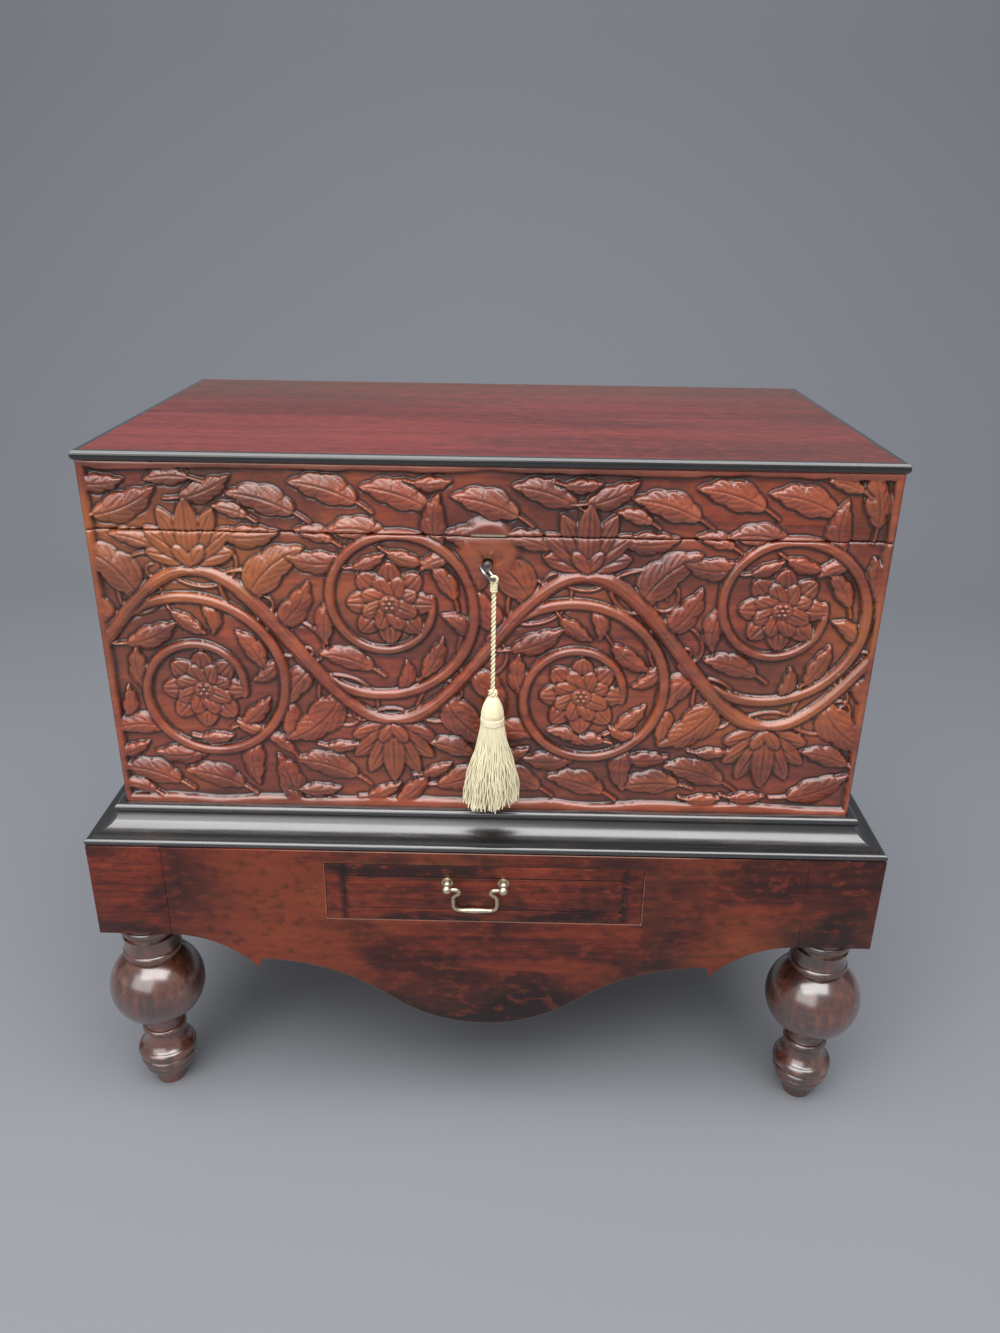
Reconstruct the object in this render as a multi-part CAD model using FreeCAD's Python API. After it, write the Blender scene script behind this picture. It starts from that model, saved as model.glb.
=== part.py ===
import FreeCAD, Part
import math
import os

# Carved chest on a stand with one drawer. Millimetres, +Z up, front towards -Y.
# The origin is on the floor, under the middle of the stand.

os.makedirs("parts", exist_ok=True)
V = FreeCAD.Vector

# Chest box
box_width = 825.0
box_depth = 460.0
box_height = 358.0
front_thickness = 28.0
side_thickness = 20.0
back_thickness = 20.0
bottom_thickness = 12.0
bottom_rise = 6.0
bottom_groove_depth = 6.0
corner_tongue_length = 8.0
corner_tongue_thickness = 8.0

# Lid
lid_height = 82.0
split_gap = 1.0
panel_tongue_depth = 6.0
edging_height = 10.0
edging_width = 5.0
edging_projection = 3.0

# Stand frame
stand_overhang = 39.0
frieze_height = 121.0
frieze_thickness = 22.0
apron_thickness = 25.0
post_size = 85.0
tenon_length = 40.0
tenon_thickness = 10.0
tenon_shoulder = 20.0
stand_top_thickness = 16.0

# Shaped lower edge of the front apron
arch_run = 99.0
arch_drop = 46.0
cusp_step_height = 13.0
cusp_step_run = 4.0
belly_drop = 124.0
belly_share = 0.42

# Carving of the front: a scrolling lotus vine left standing on a sunk ground
carving_depth = 7.0
carving_margin = 6.5
lock_mound_radius = 30.0
lock_mound_rise = 12.5
vine_bays = 4
vine_level = 230.0
vine_swing = 86.0
vine_width = 14.0
vine_height = 6.0
scroll_drop = 52.0
scroll_radius = 118.0
scroll_end_radius = 44.0
scroll_width = 10.5
scroll_height = 5.5
scroll_turns = 1.42
scroll_start_angle = 146.0
scroll_step_share = 0.0005
scroll_points = 12
vine_points = 4
leaf_height = 4.6
leaf_half_share = 0.21
leaf_turn_angle = 38.0
scroll_leaf_length = 58.0
stem_leaf_length = 86.0
blossom_petals = 8
blossom_radius = 44.0
blossom_valley_radius = 31.0
blossom_height = 4.2
inner_blossom_radius = 30.0
inner_blossom_valley_radius = 21.0
inner_blossom_height = 5.6
heart_radius = 9.5
heart_height = 6.4
petal_shoulder_share = 0.6
bud_rise = 10.0
bud_length = 66.0
bud_height = 4.8
bud_valley_share = 0.62
bud_cup_share = 0.3
# Leaves off a scroll: share of the way along it, side, share of a full leaf, bend in degrees
scroll_leaf_shares = ((0.30, 1, 0.86, -46.0), (0.385, 1, 1.0, 42.0), (0.47, 1, 1.03, -46.0),
                      (0.555, 1, 1.0, 42.0), (0.64, 1, 0.86, -46.0), (0.12, -1, 0.72, -60.0),
                      (0.24, -1, 0.72, -60.0), (0.36, -1, 0.66, -60.0))
# Leaves off the stem: share of half a bay, lean from upright in degrees, share of a full leaf, bend
stem_leaf_shares = ((0.55, 24.0, 1.0, 48.0), (0.82, 58.0, 0.74, -44.0))
# Petals of a bud: angle from upright in degrees, share of its length
bud_petal_shares = ((-78.0, 0.70), (-52.0, 0.85), (-27.0, 0.94), (0.0, 1.0), (27.0, 0.94), (52.0, 0.85),
                    (78.0, 0.70))

# Ebonised moulding that holds the foot of the chest
moulding_height = 37.0
moulding_clearance = 0.8
top_bead_setback = 5.0
top_bead_radius = 5.0
quirk_width = 2.0
quirk_height = 1.5
cove_width = 21.0
lower_fillet_height = 2.0
lower_fillet_width = 3.0
lower_bead_radius = 4.0

# Turned foot, from the floor up
pad_height = 24.0
pad_floor_radius = 18.0
pad_top_radius = 21.0
ring_height = 11.0
lower_ring_radius = 28.0
upper_ring_radius = 31.5
ring_bulge = 3.0
bell_seat_radius = 32.5
bell_height = 14.0
bell_radius = 36.0
bell_top_radius = 31.0
bell_nose_share = 0.4
foot_cove_height = 22.0
foot_cove_radius = 24.6
foot_cove_share = 0.36
neck_ring_height = 9.5
neck_ring_seat_radius = 23.5
neck_ring_bulge = 3.6
neck_height = 16.6
neck_draw = 2.5
neck_radius = 23.0
ball_radius = 57.2
ball_rise = 46.0
ball_crown = 46.0
collar_seat_radius = 30.0
collar_groove_height = 3.0
collar_bead_height = 11.0
collar_bead_bulge = 5.0
collar_cove_height = 19.0
collar_cove_radius = 33.0
collar_cove_draw = 1.0
collar_top_groove_height = 7.0
top_ring_height = 10.0
top_ring_radius = 33.0
top_ring_bulge = 3.0
top_neck_height = 9.5
foot_tenon_radius = 11.0
foot_tenon_length = 60.0
glue_gap = 0.1

# Drawer
drawer_front_width = 362.0
drawer_front_height = 75.0
drawer_front_thickness = 20.0
drawer_top_margin = 17.0
drawer_gap = 0.8
drawer_space_behind = 86.0
drawer_side_thickness = 12.0
drawer_side_drop = 12.0
dovetails_per_corner = 2
dovetail_lap = 13.0
dovetail_neck_share = 0.5
dovetail_tip_share = 0.7
drawer_back_thickness = 10.0
drawer_bottom_thickness = 6.0
drawer_bottom_rise = 8.0
drawer_groove_depth = 5.0
incised_margin_sides = 20.0
incised_margin_ends = 15.0
incised_line_width = 1.8
incised_line_depth = 1.0
running_clearance = 0.3

# Drawer runners and stops
runner_width = 34.0
runner_height = 16.0
guide_thickness = 14.0
guide_height = 26.0
stop_length = 18.0
stop_height = 14.0

# Swan-neck handle
handle_pitch = 64.0
handle_offset = -10.0
handle_rise = 16.0
handle_disc_radius = 6.5
handle_disc_thickness = 1.5
handle_bead_radius = 5.0
handle_neck_radius = 2.8
handle_neck_length = 0.4
handle_ball_radius = 5.2
handle_shank_radius = 2.2
handle_shank_tail = 2.5
nut_width = 9.0
nut_thickness = 4.0
bail_radius = 2.2
bail_pin_radius = 1.5
bail_pin_depth = 3.6
bail_end_gap = 0.3
pivot_clearance = 0.05
bail_drop = 38.0
bail_width = 50.0
bail_end_run = 4.0
swan_neck_radius = 4.5
swan_shoulder_radius = 10.0
bail_corner_radius = 9.0
grip_radius = 3.1
swan_turn_angle = 45.0

# Butt hinges
hinge_inset = 150.0
hinge_length = 64.0
hinge_leaf_width = 20.0
hinge_leaf_thickness = 1.8
hinge_barrel_radius = 3.4
hinge_pin_radius = 1.7
hinge_knuckles = 5
hinge_clearance = 0.4
hinge_screws_per_leaf = 3
screw_head_radius = 3.2
screw_shank_radius = 1.6
screw_length = 14.0

# Box lock with a sliding bolt and a staple on the lid
key_drop = 27.5
lock_width = 70.0
lock_height = 42.0
lock_depth = 15.0
lock_sheet = 1.5
selvedge_thickness = 2.5
drill_pin_radius = 1.3
bolt_thickness = 4.0
bolt_plate_length = 30.0
bolt_nose_height = 8.0
talon_bite = 3.5
talon_play = 1.5
talon_wall = 3.0
shoulder_gap = 1.0
staple_gap = 2.5
staple_thickness = 3.0
staple_leg = 2.2
staple_play = 1.0
link_plate_width = 35.0
link_plate_offset = -14.3
link_plate_setback = 0.3
link_plate_thickness = 2.0
lock_screw_inset = 8.0

# Key
key_turn_angle = 90.0
key_barrel_radius = 3.0
key_bit_reach = 11.0
key_bit_thickness = 2.5
key_bit_length = 8.0
key_bow_radius = 10.0
key_bow_wire_radius = 1.7
key_bow_distance = 30.0
key_collar_radius = 4.4
key_collar_length = 4.0
keyhole_clearance = 0.6
keyhole_liner_wall = 1.2
keyhole_liner_depth = 3.0

# Tassel on its twisted cord
cord_radius = 2.75
cord_ply_radius = 1.4
cord_loop_clearance = 0.3
cord_drop = 122.0
knot_height = 8.0
knot_radius = 5.0
head_neck_radius = 3.6
head_height = 25.0
head_radius = 11.8
head_shoulder_share = 0.72
tie_height = 7.0
tie_bulge = 1.8
skirt_length = 99.0
skirt_half_width = 33.0
skirt_half_depth = 25.0
skirt_shoulder_drop = 24.0
skirt_shoulder_share = 0.52

# Drawing allowance of every cut
overrun = 2.0

# Levels and faces worked out from the sizes above
foot_lower_height = pad_height + 2 * ring_height + bell_height + foot_cove_height
foot_middle_height = neck_ring_height + neck_height + ball_rise + ball_crown
collar_height = collar_bead_height + collar_cove_height
foot_top_height = collar_top_groove_height + top_ring_height + top_neck_height
foot_upper_height = collar_groove_height + collar_height + foot_top_height
foot_height = foot_lower_height + foot_middle_height + foot_upper_height
frieze_top = foot_height + frieze_height
box_top = frieze_top + box_height - split_gap / 2
lid_bottom = frieze_top + box_height + split_gap / 2
hinge_level = frieze_top + box_height
lid_top_level = frieze_top + box_height + lid_height
rail_top = lid_top_level - edging_height
half_width = box_width / 2
half_depth = box_depth / 2
stand_half_width = half_width + stand_overhang
stand_half_depth = half_depth + stand_overhang
front_inner = front_thickness - half_depth
back_inner = half_depth - back_thickness
side_inner = half_width - side_thickness
apron_front_face = -stand_half_depth
apron_inner = apron_thickness - stand_half_depth
post_inner_x = stand_half_width - post_size
post_inner_y = stand_half_depth - post_size


def block(xs, ys, zs):
    """A rectangular solid between two places on each axis."""
    size = V(xs[1] - xs[0], ys[1] - ys[0], zs[1] - zs[0])
    return Part.makeBox(size.x, size.y, size.z, V(xs[0], ys[0], zs[0]))


def rod(radius, start, end):
    """A round bar from one point to another."""
    along = end - start
    return Part.makeCylinder(radius, along.Length, start, along)


def line(start, end):
    """A straight edge."""
    return Part.LineSegment(start, end).toShape()


def arc(start, middle, end):
    """A circular edge through three points."""
    return Part.Arc(start, middle, end).toShape()


def arcs_through(points):
    """Circular edges, each from one point through the next to the one after."""
    return [arc(*points[n:n + 3]) for n in range(0, len(points) - 1, 2)]


def polyline(points):
    """Straight edges through the points in order."""
    return [line(a, b) for a, b in zip(points, points[1:])]


def face_of(edges):
    """The flat face inside a closed chain of edges."""
    return Part.Face(Part.Wire(edges))


def mirrored(shape):
    """The same piece on the other side of the middle."""
    return shape.mirror(V(0, 0, 0), V(1, 0, 0))


def turned_back(shape):
    """The same piece at the back in place of the front."""
    return shape.mirror(V(0, 0, 0), V(0, 1, 0))


def level_arc_middle(level, other):
    """The middle point, in two numbers, of the arc that leaves one point level and ends at another."""
    run = other[0] - level[0]
    rise = other[1] - level[1]
    radius = (run ** 2 + rise ** 2) / (2 * rise)
    half_turn = math.atan2(abs(rise), abs(run))
    side = math.copysign(math.sin(half_turn), run)
    return level[0] + abs(radius) * side, level[1] + radius * (1 - math.cos(half_turn))


class Turning:
    """A turned profile, drawn upwards from the floor as edges in the XZ plane."""

    def __init__(self, radius, level):
        self.start = level
        self.radius = radius
        self.level = level
        self.edges = [line(V(0, 0, level), V(radius, 0, level))]

    def point(self):
        """The place that the profile has reached."""
        return V(self.radius, 0, self.level)

    def straight(self, radius, rise):
        """Goes on straight to a radius, higher by rise."""
        before = self.point()
        self.radius = radius
        self.level += rise
        self.edges.append(line(before, self.point()))

    def bead(self, rise, bulge):
        """Goes up by rise on an arc that swells by bulge, or draws in where it is negative."""
        before = self.point()
        middle = V(self.radius + bulge, 0, self.level + rise / 2)
        self.level += rise
        self.edges.append(arc(before, middle, self.point()))

    def swell(self, radius, rise, reach, share):
        """Goes up by rise to a radius on an arc through a stated reach at a share of the rise."""
        before = self.point()
        middle = V(reach, 0, self.level + rise * share)
        self.radius = radius
        self.level += rise
        self.edges.append(arc(before, middle, self.point()))

    def ball(self, radius, below, above, end_radius):
        """Goes round a ball whose middle is a stated height above the last point."""
        before = self.point()
        middle = V(radius, 0, self.level + below)
        self.radius = end_radius
        self.level += below + above
        self.edges.append(arc(before, middle, self.point()))

    def solid(self):
        """Closes the profile on the axis and turns it."""
        self.edges.append(line(self.point(), V(0, 0, self.level)))
        self.edges.append(line(V(0, 0, self.level), V(0, 0, self.start)))
        return face_of(self.edges).revolve(V(0, 0, 0), V(0, 0, 1), 360)


def save(name, shape):
    """Writes one piece."""
    shape.exportStep("parts/" + name + ".step")


def tongue_ends(thickness_inner, sign):
    """The tongue of a side board at the front (-1) or back (+1) corner of the box or lid."""
    outer = half_width - (side_thickness - corner_tongue_thickness) / 2
    inner = outer - corner_tongue_thickness
    near = thickness_inner
    far = thickness_inner + sign * corner_tongue_length
    return (inner, outer), (min(near, far), max(near, far))


def side_board(low, high):
    """One right-hand side board, with its two tongues, between two levels."""
    board = block((side_inner, half_width), (front_inner, back_inner), (low, high))
    for inner, sign in ((front_inner, -1), (back_inner, 1)):
        xs, ys = tongue_ends(inner, sign)
        board = board.fuse(block(xs, ys, (low, high)))
    return board.removeSplitter()


def corner_grooves(low, high, inner, sign):
    """The two grooves that take the tongues of the side boards."""
    xs, ys = tongue_ends(inner, sign)
    groove = block(xs, ys, (low - overrun, high + overrun))
    return groove.fuse(mirrored(groove))


def bottom_panel():
    """The bottom of the chest, let into grooves all round."""
    return block(
        (-side_inner - bottom_groove_depth, side_inner + bottom_groove_depth),
        (front_inner - bottom_groove_depth, back_inner + bottom_groove_depth),
        (frieze_top + bottom_rise, frieze_top + bottom_rise + bottom_thickness))


# Lock places
lock_front = front_inner - lock_depth
lock_mid_y = front_inner - lock_depth / 2
key_level = box_top - key_drop
key_half_turn = math.radians(key_turn_angle / 2)
bolt_grip = key_bit_reach - talon_bite / 2
bolt_travel = 2 * bolt_grip * math.sin(key_half_turn)
bolt_bottom = key_level + key_bit_reach - talon_bite
bolt_top = box_top - selvedge_thickness - running_clearance
talon_middle = -bolt_travel / 2
talon_half = key_bit_thickness / 2 + talon_play
bolt_shoulder = talon_middle + talon_half + talon_wall
staple_near = bolt_shoulder + bolt_travel + shoulder_gap
staple_x = staple_near + staple_thickness / 2
bolt_tip = staple_near - staple_gap
staple_inner = bolt_thickness + 2 * staple_play
staple_foot = bolt_top - bolt_nose_height - staple_play - staple_leg
link_plate_back = lock_mid_y + staple_inner / 2 + staple_leg + staple_play


def keyhole(margin, near, far):
    """A keyhole shape, round above and slotted below, wider than the key by a margin."""
    round_part = rod(key_barrel_radius + margin, V(0, near, key_level), V(0, far, key_level))
    half_slot = key_bit_thickness / 2 + margin
    slot_foot = key_level - key_bit_reach - margin
    return round_part.fuse(block((-half_slot, half_slot), (near, far), (slot_foot, key_level)))


def lock_pocket():
    """The recess of the lock in the inner face of the front board."""
    return block((-lock_width / 2, lock_width / 2), (lock_front, front_inner + overrun),
                 (box_top - lock_height, box_top + overrun))


def screw(place, direction):
    """A countersunk wood screw with its head flush at a place, driven along a direction."""
    head_depth = screw_head_radius - screw_shank_radius
    neck = place + direction * head_depth
    head = Part.makeCone(screw_head_radius, screw_shank_radius, head_depth, place, direction)
    return head.fuse(rod(screw_shank_radius, neck, place + direction * screw_length))


def screw_hole(place, direction):
    """The hole and countersink of a screw."""
    head_depth = screw_head_radius - screw_shank_radius
    wide = screw_head_radius + glue_gap
    narrow = screw_shank_radius + glue_gap
    neck = place + direction * head_depth
    sink = Part.makeCone(wide, narrow, head_depth, place, direction)
    mouth = rod(wide, place - direction * overrun, place)
    end = place + direction * (screw_length + glue_gap)
    return sink.fuse(mouth).fuse(rod(narrow, neck, end))


def cut_all(shape, cutters):
    """Takes each cutter from the shape."""
    for cutter in cutters:
        shape = shape.cut(cutter)
    return shape


# Hinge places
hinge_axis_y = half_depth + hinge_barrel_radius + hinge_clearance
hinge_leaf_reach = half_depth - hinge_leaf_width
hinge_centres = (hinge_inset - half_width, half_width - hinge_inset)
hinge_names = ("left", "right")


def hinge_screw_places(centre, level):
    """The screws of one leaf, spread evenly along it."""
    pitch = hinge_length / hinge_screws_per_leaf
    first = centre - hinge_length / 2 + pitch / 2
    depth = half_depth - hinge_leaf_width / 2
    return [V(first + i * pitch, depth, level) for i in range(hinge_screws_per_leaf)]


def leaf_recess(centre, level, sign):
    """The shallow recess of one hinge leaf in the edge of a board."""
    far = level + sign * hinge_leaf_thickness
    near = level - sign * overrun
    return block((centre - hinge_length / 2, centre + hinge_length / 2),
                 (hinge_leaf_reach, half_depth + overrun), (min(near, far), max(near, far)))


def hinge_leaf(centre, level, sign, first_knuckle):
    """One leaf with its alternate knuckles, bored for the pin and drilled for its screws."""
    left = centre - hinge_length / 2
    pitch = hinge_length / hinge_knuckles
    far = level + sign * hinge_leaf_thickness
    leaf = block((left, left + hinge_length), (hinge_leaf_reach, hinge_axis_y),
                 (min(level, far), max(level, far)))
    for k in range(hinge_knuckles):
        start = V(left + k * pitch, hinge_axis_y, hinge_level)
        end = start + V(pitch, 0, 0)
        if k % 2 == first_knuckle:
            gap = V(hinge_clearance / 2, 0, 0)
            leaf = leaf.fuse(rod(hinge_barrel_radius, start + gap, end - gap))
        else:
            leaf = leaf.cut(rod(hinge_barrel_radius + hinge_clearance, start, end))
    slack = V(overrun, 0, 0)
    axis_start = V(left, hinge_axis_y, hinge_level)
    bore = rod(hinge_pin_radius + pivot_clearance, axis_start - slack,
               axis_start + V(hinge_length, 0, 0) + slack)
    holes = [screw_hole(p, V(0, 0, sign)) for p in hinge_screw_places(centre, level)]
    return cut_all(leaf, [bore] + holes).removeSplitter()


def hinge_cuts(level, sign):
    """What both hinges take out of the board that carries them."""
    cuts = []
    for centre in hinge_centres:
        cuts.append(leaf_recess(centre, level, sign))
        cuts += [screw_hole(p, V(0, 0, sign)) for p in hinge_screw_places(centre, level)]
    return cuts


carving_ground = carving_depth - half_depth
moulding_top = frieze_top + moulding_height


def aim(angle):
    """The direction at an angle on the front, in degrees from the right and upwards."""
    return V(math.cos(math.radians(angle)), 0, math.sin(math.radians(angle)))


def heading(here, ahead):
    """The angle on the front of the way from one point to another, in degrees."""
    return math.degrees(math.atan2(ahead.z - here.z, ahead.x - here.x))


def vine_side(bay):
    """1 where the stem passes over the bay, and -1 where it passes under it."""
    return 1 if bay % 2 == 0 else -1


def vine_point(x):
    """A place on the waving stem."""
    wave = math.sin(math.pi * (x / half_width + 1) * vine_bays / 2)
    return V(x, carving_ground, frieze_top + vine_level + vine_swing * wave)


def scroll_centre(bay):
    """The middle of a bay's scroll."""
    x = half_width * ((2 * bay + 1) / vine_bays - 1)
    return V(x, carving_ground, frieze_top + vine_level - vine_side(bay) * scroll_drop)


def scroll_point(bay, share):
    """A place on the branch that winds into a bay, by its share of the way in."""
    angle = vine_side(bay) * (scroll_start_angle - 360 * scroll_turns * share)
    radius = scroll_radius * (scroll_end_radius / scroll_radius) ** share
    return scroll_centre(bay) + aim(angle) * radius


def raised(edges, height):
    """A flat-topped form that stands over the ground."""
    foot = face_of(edges)
    foot.translate(V(0, overrun, 0))
    return foot.extrude(V(0, -overrun - height, 0))


def branch(points, width, height):
    """A band of one width along the points, of which the first and last only give a direction."""
    steps = list(zip(points, points[1:], points[2:]))
    left = [here + aim(heading(before, after) + 90) * (width / 2) for before, here, after in steps]
    right = [here * 2 - across for here, across in zip(points[1:], left)]
    ends = line(left[-1], right[-1]), line(right[0], left[0])
    return raised(arcs_through(left) + [ends[0]] + arcs_through(right[::-1]) + [ends[1]], height)


def leaf(start, angle, length, bend):
    """A bent leaf that starts at a point in a direction."""
    turn = math.radians(bend)
    end = start + aim(angle + bend / 2) * (length * math.sin(turn / 2) / (turn / 2))
    middle = start + aim(angle + bend / 4) * (length / 2 * math.sin(turn / 4) / (turn / 4))
    out = aim(angle + bend / 2 + 90) * (length * leaf_half_share)
    return raised([arc(start, middle + out, end), arc(end, middle - out, start)], leaf_height)


def petal_edges(centre, tips, valleys):
    """Pointed petals between valleys, each given by its angle in degrees and its distance from a centre."""
    edges = []
    for (angle, reach), before, after in zip(tips, valleys, valleys[1:]):
        tip = centre + aim(angle) * reach
        shoulders = []
        for valley_angle, valley_reach in (before, after):
            out = valley_reach + (reach - valley_reach) * petal_shoulder_share
            shoulders.append(centre + aim(angle + (valley_angle - angle) * petal_shoulder_share) * out)
        edges.append(arc(centre + aim(before[0]) * before[1], shoulders[0], tip))
        edges.append(arc(tip, shoulders[1], centre + aim(after[0]) * after[1]))
    return edges


def blossom_ring(centre, reach, valley_reach, first, height):
    """A ring of petals, the first of them turned by a share of the space between two."""
    pitch = 360 / blossom_petals
    tips = [(pitch * (number + first), reach) for number in range(blossom_petals)]
    valleys = [(pitch * (number + first - 0.5), valley_reach) for number in range(blossom_petals + 1)]
    return raised(petal_edges(centre, tips, valleys), height)


def bud(bay):
    """A half-open lotus that grows out of the stem, away from the scroll."""
    side = vine_side(bay)
    start = vine_point(scroll_centre(bay).x) + V(0, 0, side * bud_rise)
    tips = [(side * 90 + angle, share * bud_length) for angle, share in bud_petal_shares]
    outer = 2 * bud_petal_shares[-1][0] - bud_petal_shares[-2][0]
    inner = [((a[0] + b[0]) / 2, min(a[1], b[1]) * bud_valley_share) for a, b in zip(tips, tips[1:])]
    cup = bud_cup_share * bud_length
    valleys = [(side * 90 - outer, cup)] + inner + [(side * 90 + outer, cup)]
    ends = [start + aim(angle) * reach for angle, reach in (valleys[-1], valleys[0])]
    return raised(petal_edges(start, tips, valleys) + polyline([ends[0], start, ends[1]]), bud_height)


def bay_leaves(bay):
    """The leaves off a bay's scroll and off the stem beside its bud."""
    side = vine_side(bay)
    leaves = []
    for share, hand, length_share, bend in scroll_leaf_shares:
        here = scroll_point(bay, share)
        along = heading(here, scroll_point(bay, share + scroll_step_share))
        leaves.append(leaf(here, along + leaf_turn_angle * hand * side, length_share * scroll_leaf_length,
                           bend * side))
    for place_share, lean, length_share, bend in stem_leaf_shares:
        for hand in (-1, 1):
            here = vine_point(scroll_centre(bay).x + hand * place_share * half_width / vine_bays)
            leaves.append(leaf(here, side * (90 - hand * lean), length_share * stem_leaf_length,
                               -hand * side * bend))
    return leaves


def vine_forms():
    """Every main form of the carving: the lock's mound, the stem, and the scroll and flowers of each bay."""
    mound = V(0, carving_ground, key_level + lock_mound_rise)
    forms = [rod(lock_mound_radius, mound + V(0, overrun, 0), mound - V(0, carving_depth + 2 * overrun, 0))]
    steps = vine_points * vine_bays
    stem = [vine_point(half_width * (2 * n / steps - 1)) for n in range(-1, steps + 2)]
    forms.append(branch(stem, vine_width, vine_height))
    for bay in range(vine_bays):
        centre = scroll_centre(bay)
        forms.append(branch([scroll_point(bay, n / scroll_points) for n in range(-1, scroll_points + 2)],
                            scroll_width, scroll_height))
        forms += bay_leaves(bay)
        forms.append(blossom_ring(centre, blossom_radius, blossom_valley_radius, 0, blossom_height))
        forms.append(blossom_ring(centre, inner_blossom_radius, inner_blossom_valley_radius, 0.5,
                                  inner_blossom_height))
        forms.append(rod(heart_radius, centre + V(0, overrun, 0), centre - V(0, heart_height, 0)))
        forms.append(bud(bay))
    return forms


def carving_waste():
    """The wood that is cut away from the front round the vine, inside a raised margin."""
    waste = block((carving_margin - half_width, half_width - carving_margin),
                  (-half_depth - overrun, carving_ground),
                  (moulding_top + carving_margin, rail_top - carving_margin))
    return cut_all(waste, vine_forms())


def build_box(waste):
    """The five boards of the chest box, the front one carved."""
    levels = (frieze_top, box_top)
    panel = bottom_panel()
    front = block((-half_width, half_width), (-half_depth, front_inner), levels)
    hole = keyhole(keyhole_clearance, -half_depth - overrun, lock_front + overrun)
    liner_seat = keyhole(keyhole_clearance + keyhole_liner_wall, -half_depth - overrun,
                         keyhole_liner_depth - half_depth)
    front_cuts = [waste, corner_grooves(*levels, front_inner, -1), panel, lock_pocket(), hole, liner_seat]
    front_cuts += [screw_hole(p, V(0, -1, 0)) for p in lock_screw_places()]
    save("box_front", cut_all(front, front_cuts))
    back = block((-half_width, half_width), (back_inner, half_depth), levels)
    back_cuts = [corner_grooves(*levels, back_inner, 1), panel] + hinge_cuts(box_top, -1)
    save("box_back", cut_all(back, back_cuts))
    side = side_board(*levels).cut(panel)
    save("box_right_side", side)
    save("box_left_side", mirrored(side))
    ends = [mirrored(corner_filler()), corner_filler()]
    save("box_bottom", cut_all(panel, ends))


def corner_filler():
    """The corner of the bottom panel that would meet the tongues of the right side board."""
    low = frieze_top + bottom_rise - overrun
    high = frieze_top + bottom_rise + bottom_thickness + overrun
    reach = side_inner + bottom_groove_depth + overrun
    front_end = block((side_inner, reach), (front_inner - bottom_groove_depth - overrun, front_inner),
                      (low, high))
    back_end = block((side_inner, reach), (back_inner, back_inner + bottom_groove_depth + overrun),
                     (low, high))
    return front_end.fuse(back_end)


def edging_profile(place):
    """Half-round edging in section: a flat strip with a swelled nose, by outward reach and height."""
    low = place(0, rail_top)
    high = place(0, lid_top_level)
    nose = place(edging_projection, rail_top + edging_height / 2)
    inside_high = place(-edging_width, lid_top_level)
    inside_low = place(-edging_width, rail_top)
    return face_of([arc(low, nose, high)] + polyline([high, inside_high, inside_low, low]))


def front_place(reach, level):
    """A point in the section of a front run, reach outside the face of the chest."""
    return V(-half_width - 2 * stand_overhang, -half_depth - reach, level)


def side_place(reach, level):
    """A point in the section of a right-hand run, reach outside the face of the chest."""
    return V(half_width + reach, -half_depth - 2 * stand_overhang, level)


def front_mitre(inside, outside, low, high):
    """The space of a front run, mitred at both ends, from inside the chest's face to outside it."""
    corners = [V(-half_width + inside, -half_depth + inside, low),
               V(half_width - inside, -half_depth + inside, low),
               V(half_width + outside, -half_depth - outside, low),
               V(-half_width - outside, -half_depth - outside, low)]
    return face_of(polyline(corners + corners[:1])).extrude(V(0, 0, high - low))


def side_mitre(inside, outside, low, high, back_mitred):
    """The space of a right-hand run, mitred at the front and, where wanted, at the back."""
    back_in = half_depth - inside if back_mitred else half_depth
    back_out = half_depth + outside if back_mitred else half_depth
    corners = [V(half_width - inside, -half_depth + inside, low),
               V(half_width + outside, -half_depth - outside, low),
               V(half_width + outside, back_out, low),
               V(half_width - inside, back_in, low)]
    return face_of(polyline(corners + corners[:1])).extrude(V(0, 0, high - low))


def build_lid(waste):
    """The lid: a panel let into four rails, the front one carved, edged at the front and sides."""
    levels = (lid_bottom, rail_top)
    front = block((-half_width, half_width), (-half_depth, front_inner), levels)
    plate_seat = link_plate_solid(-half_depth - overrun, overrun)
    front_cuts = [waste, corner_grooves(*levels, front_inner, -1), plate_seat]
    save("lid_front_rail", cut_all(front, front_cuts))
    back = block((-half_width, half_width), (back_inner, half_depth), levels)
    back_cuts = [corner_grooves(*levels, back_inner, 1)] + hinge_cuts(lid_bottom, 1)
    save("lid_back_rail", cut_all(back, back_cuts))
    side = side_board(*levels)
    save("lid_right_rail", side)
    save("lid_left_rail", mirrored(side))
    upper = block((edging_width - half_width, half_width - edging_width),
                  (edging_width - half_depth, half_depth), (rail_top, lid_top_level))
    lower = block((-side_inner, side_inner), (front_inner, back_inner),
                  (rail_top - panel_tongue_depth, rail_top))
    save("lid_top", upper.fuse(lower).removeSplitter())
    run_x = 2 * half_width + 4 * stand_overhang
    run_y = 2 * half_depth + 4 * stand_overhang
    limits = (edging_width, edging_projection + overrun, rail_top, lid_top_level)
    long_strip = edging_profile(front_place).extrude(V(run_x, 0, 0))
    save("lid_edging_front", long_strip.common(front_mitre(*limits)))
    side_strip = edging_profile(side_place).extrude(V(0, run_y, 0))
    right = side_strip.common(side_mitre(*limits, False))
    save("lid_edging_right", right)
    save("lid_edging_left", mirrored(right))


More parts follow.
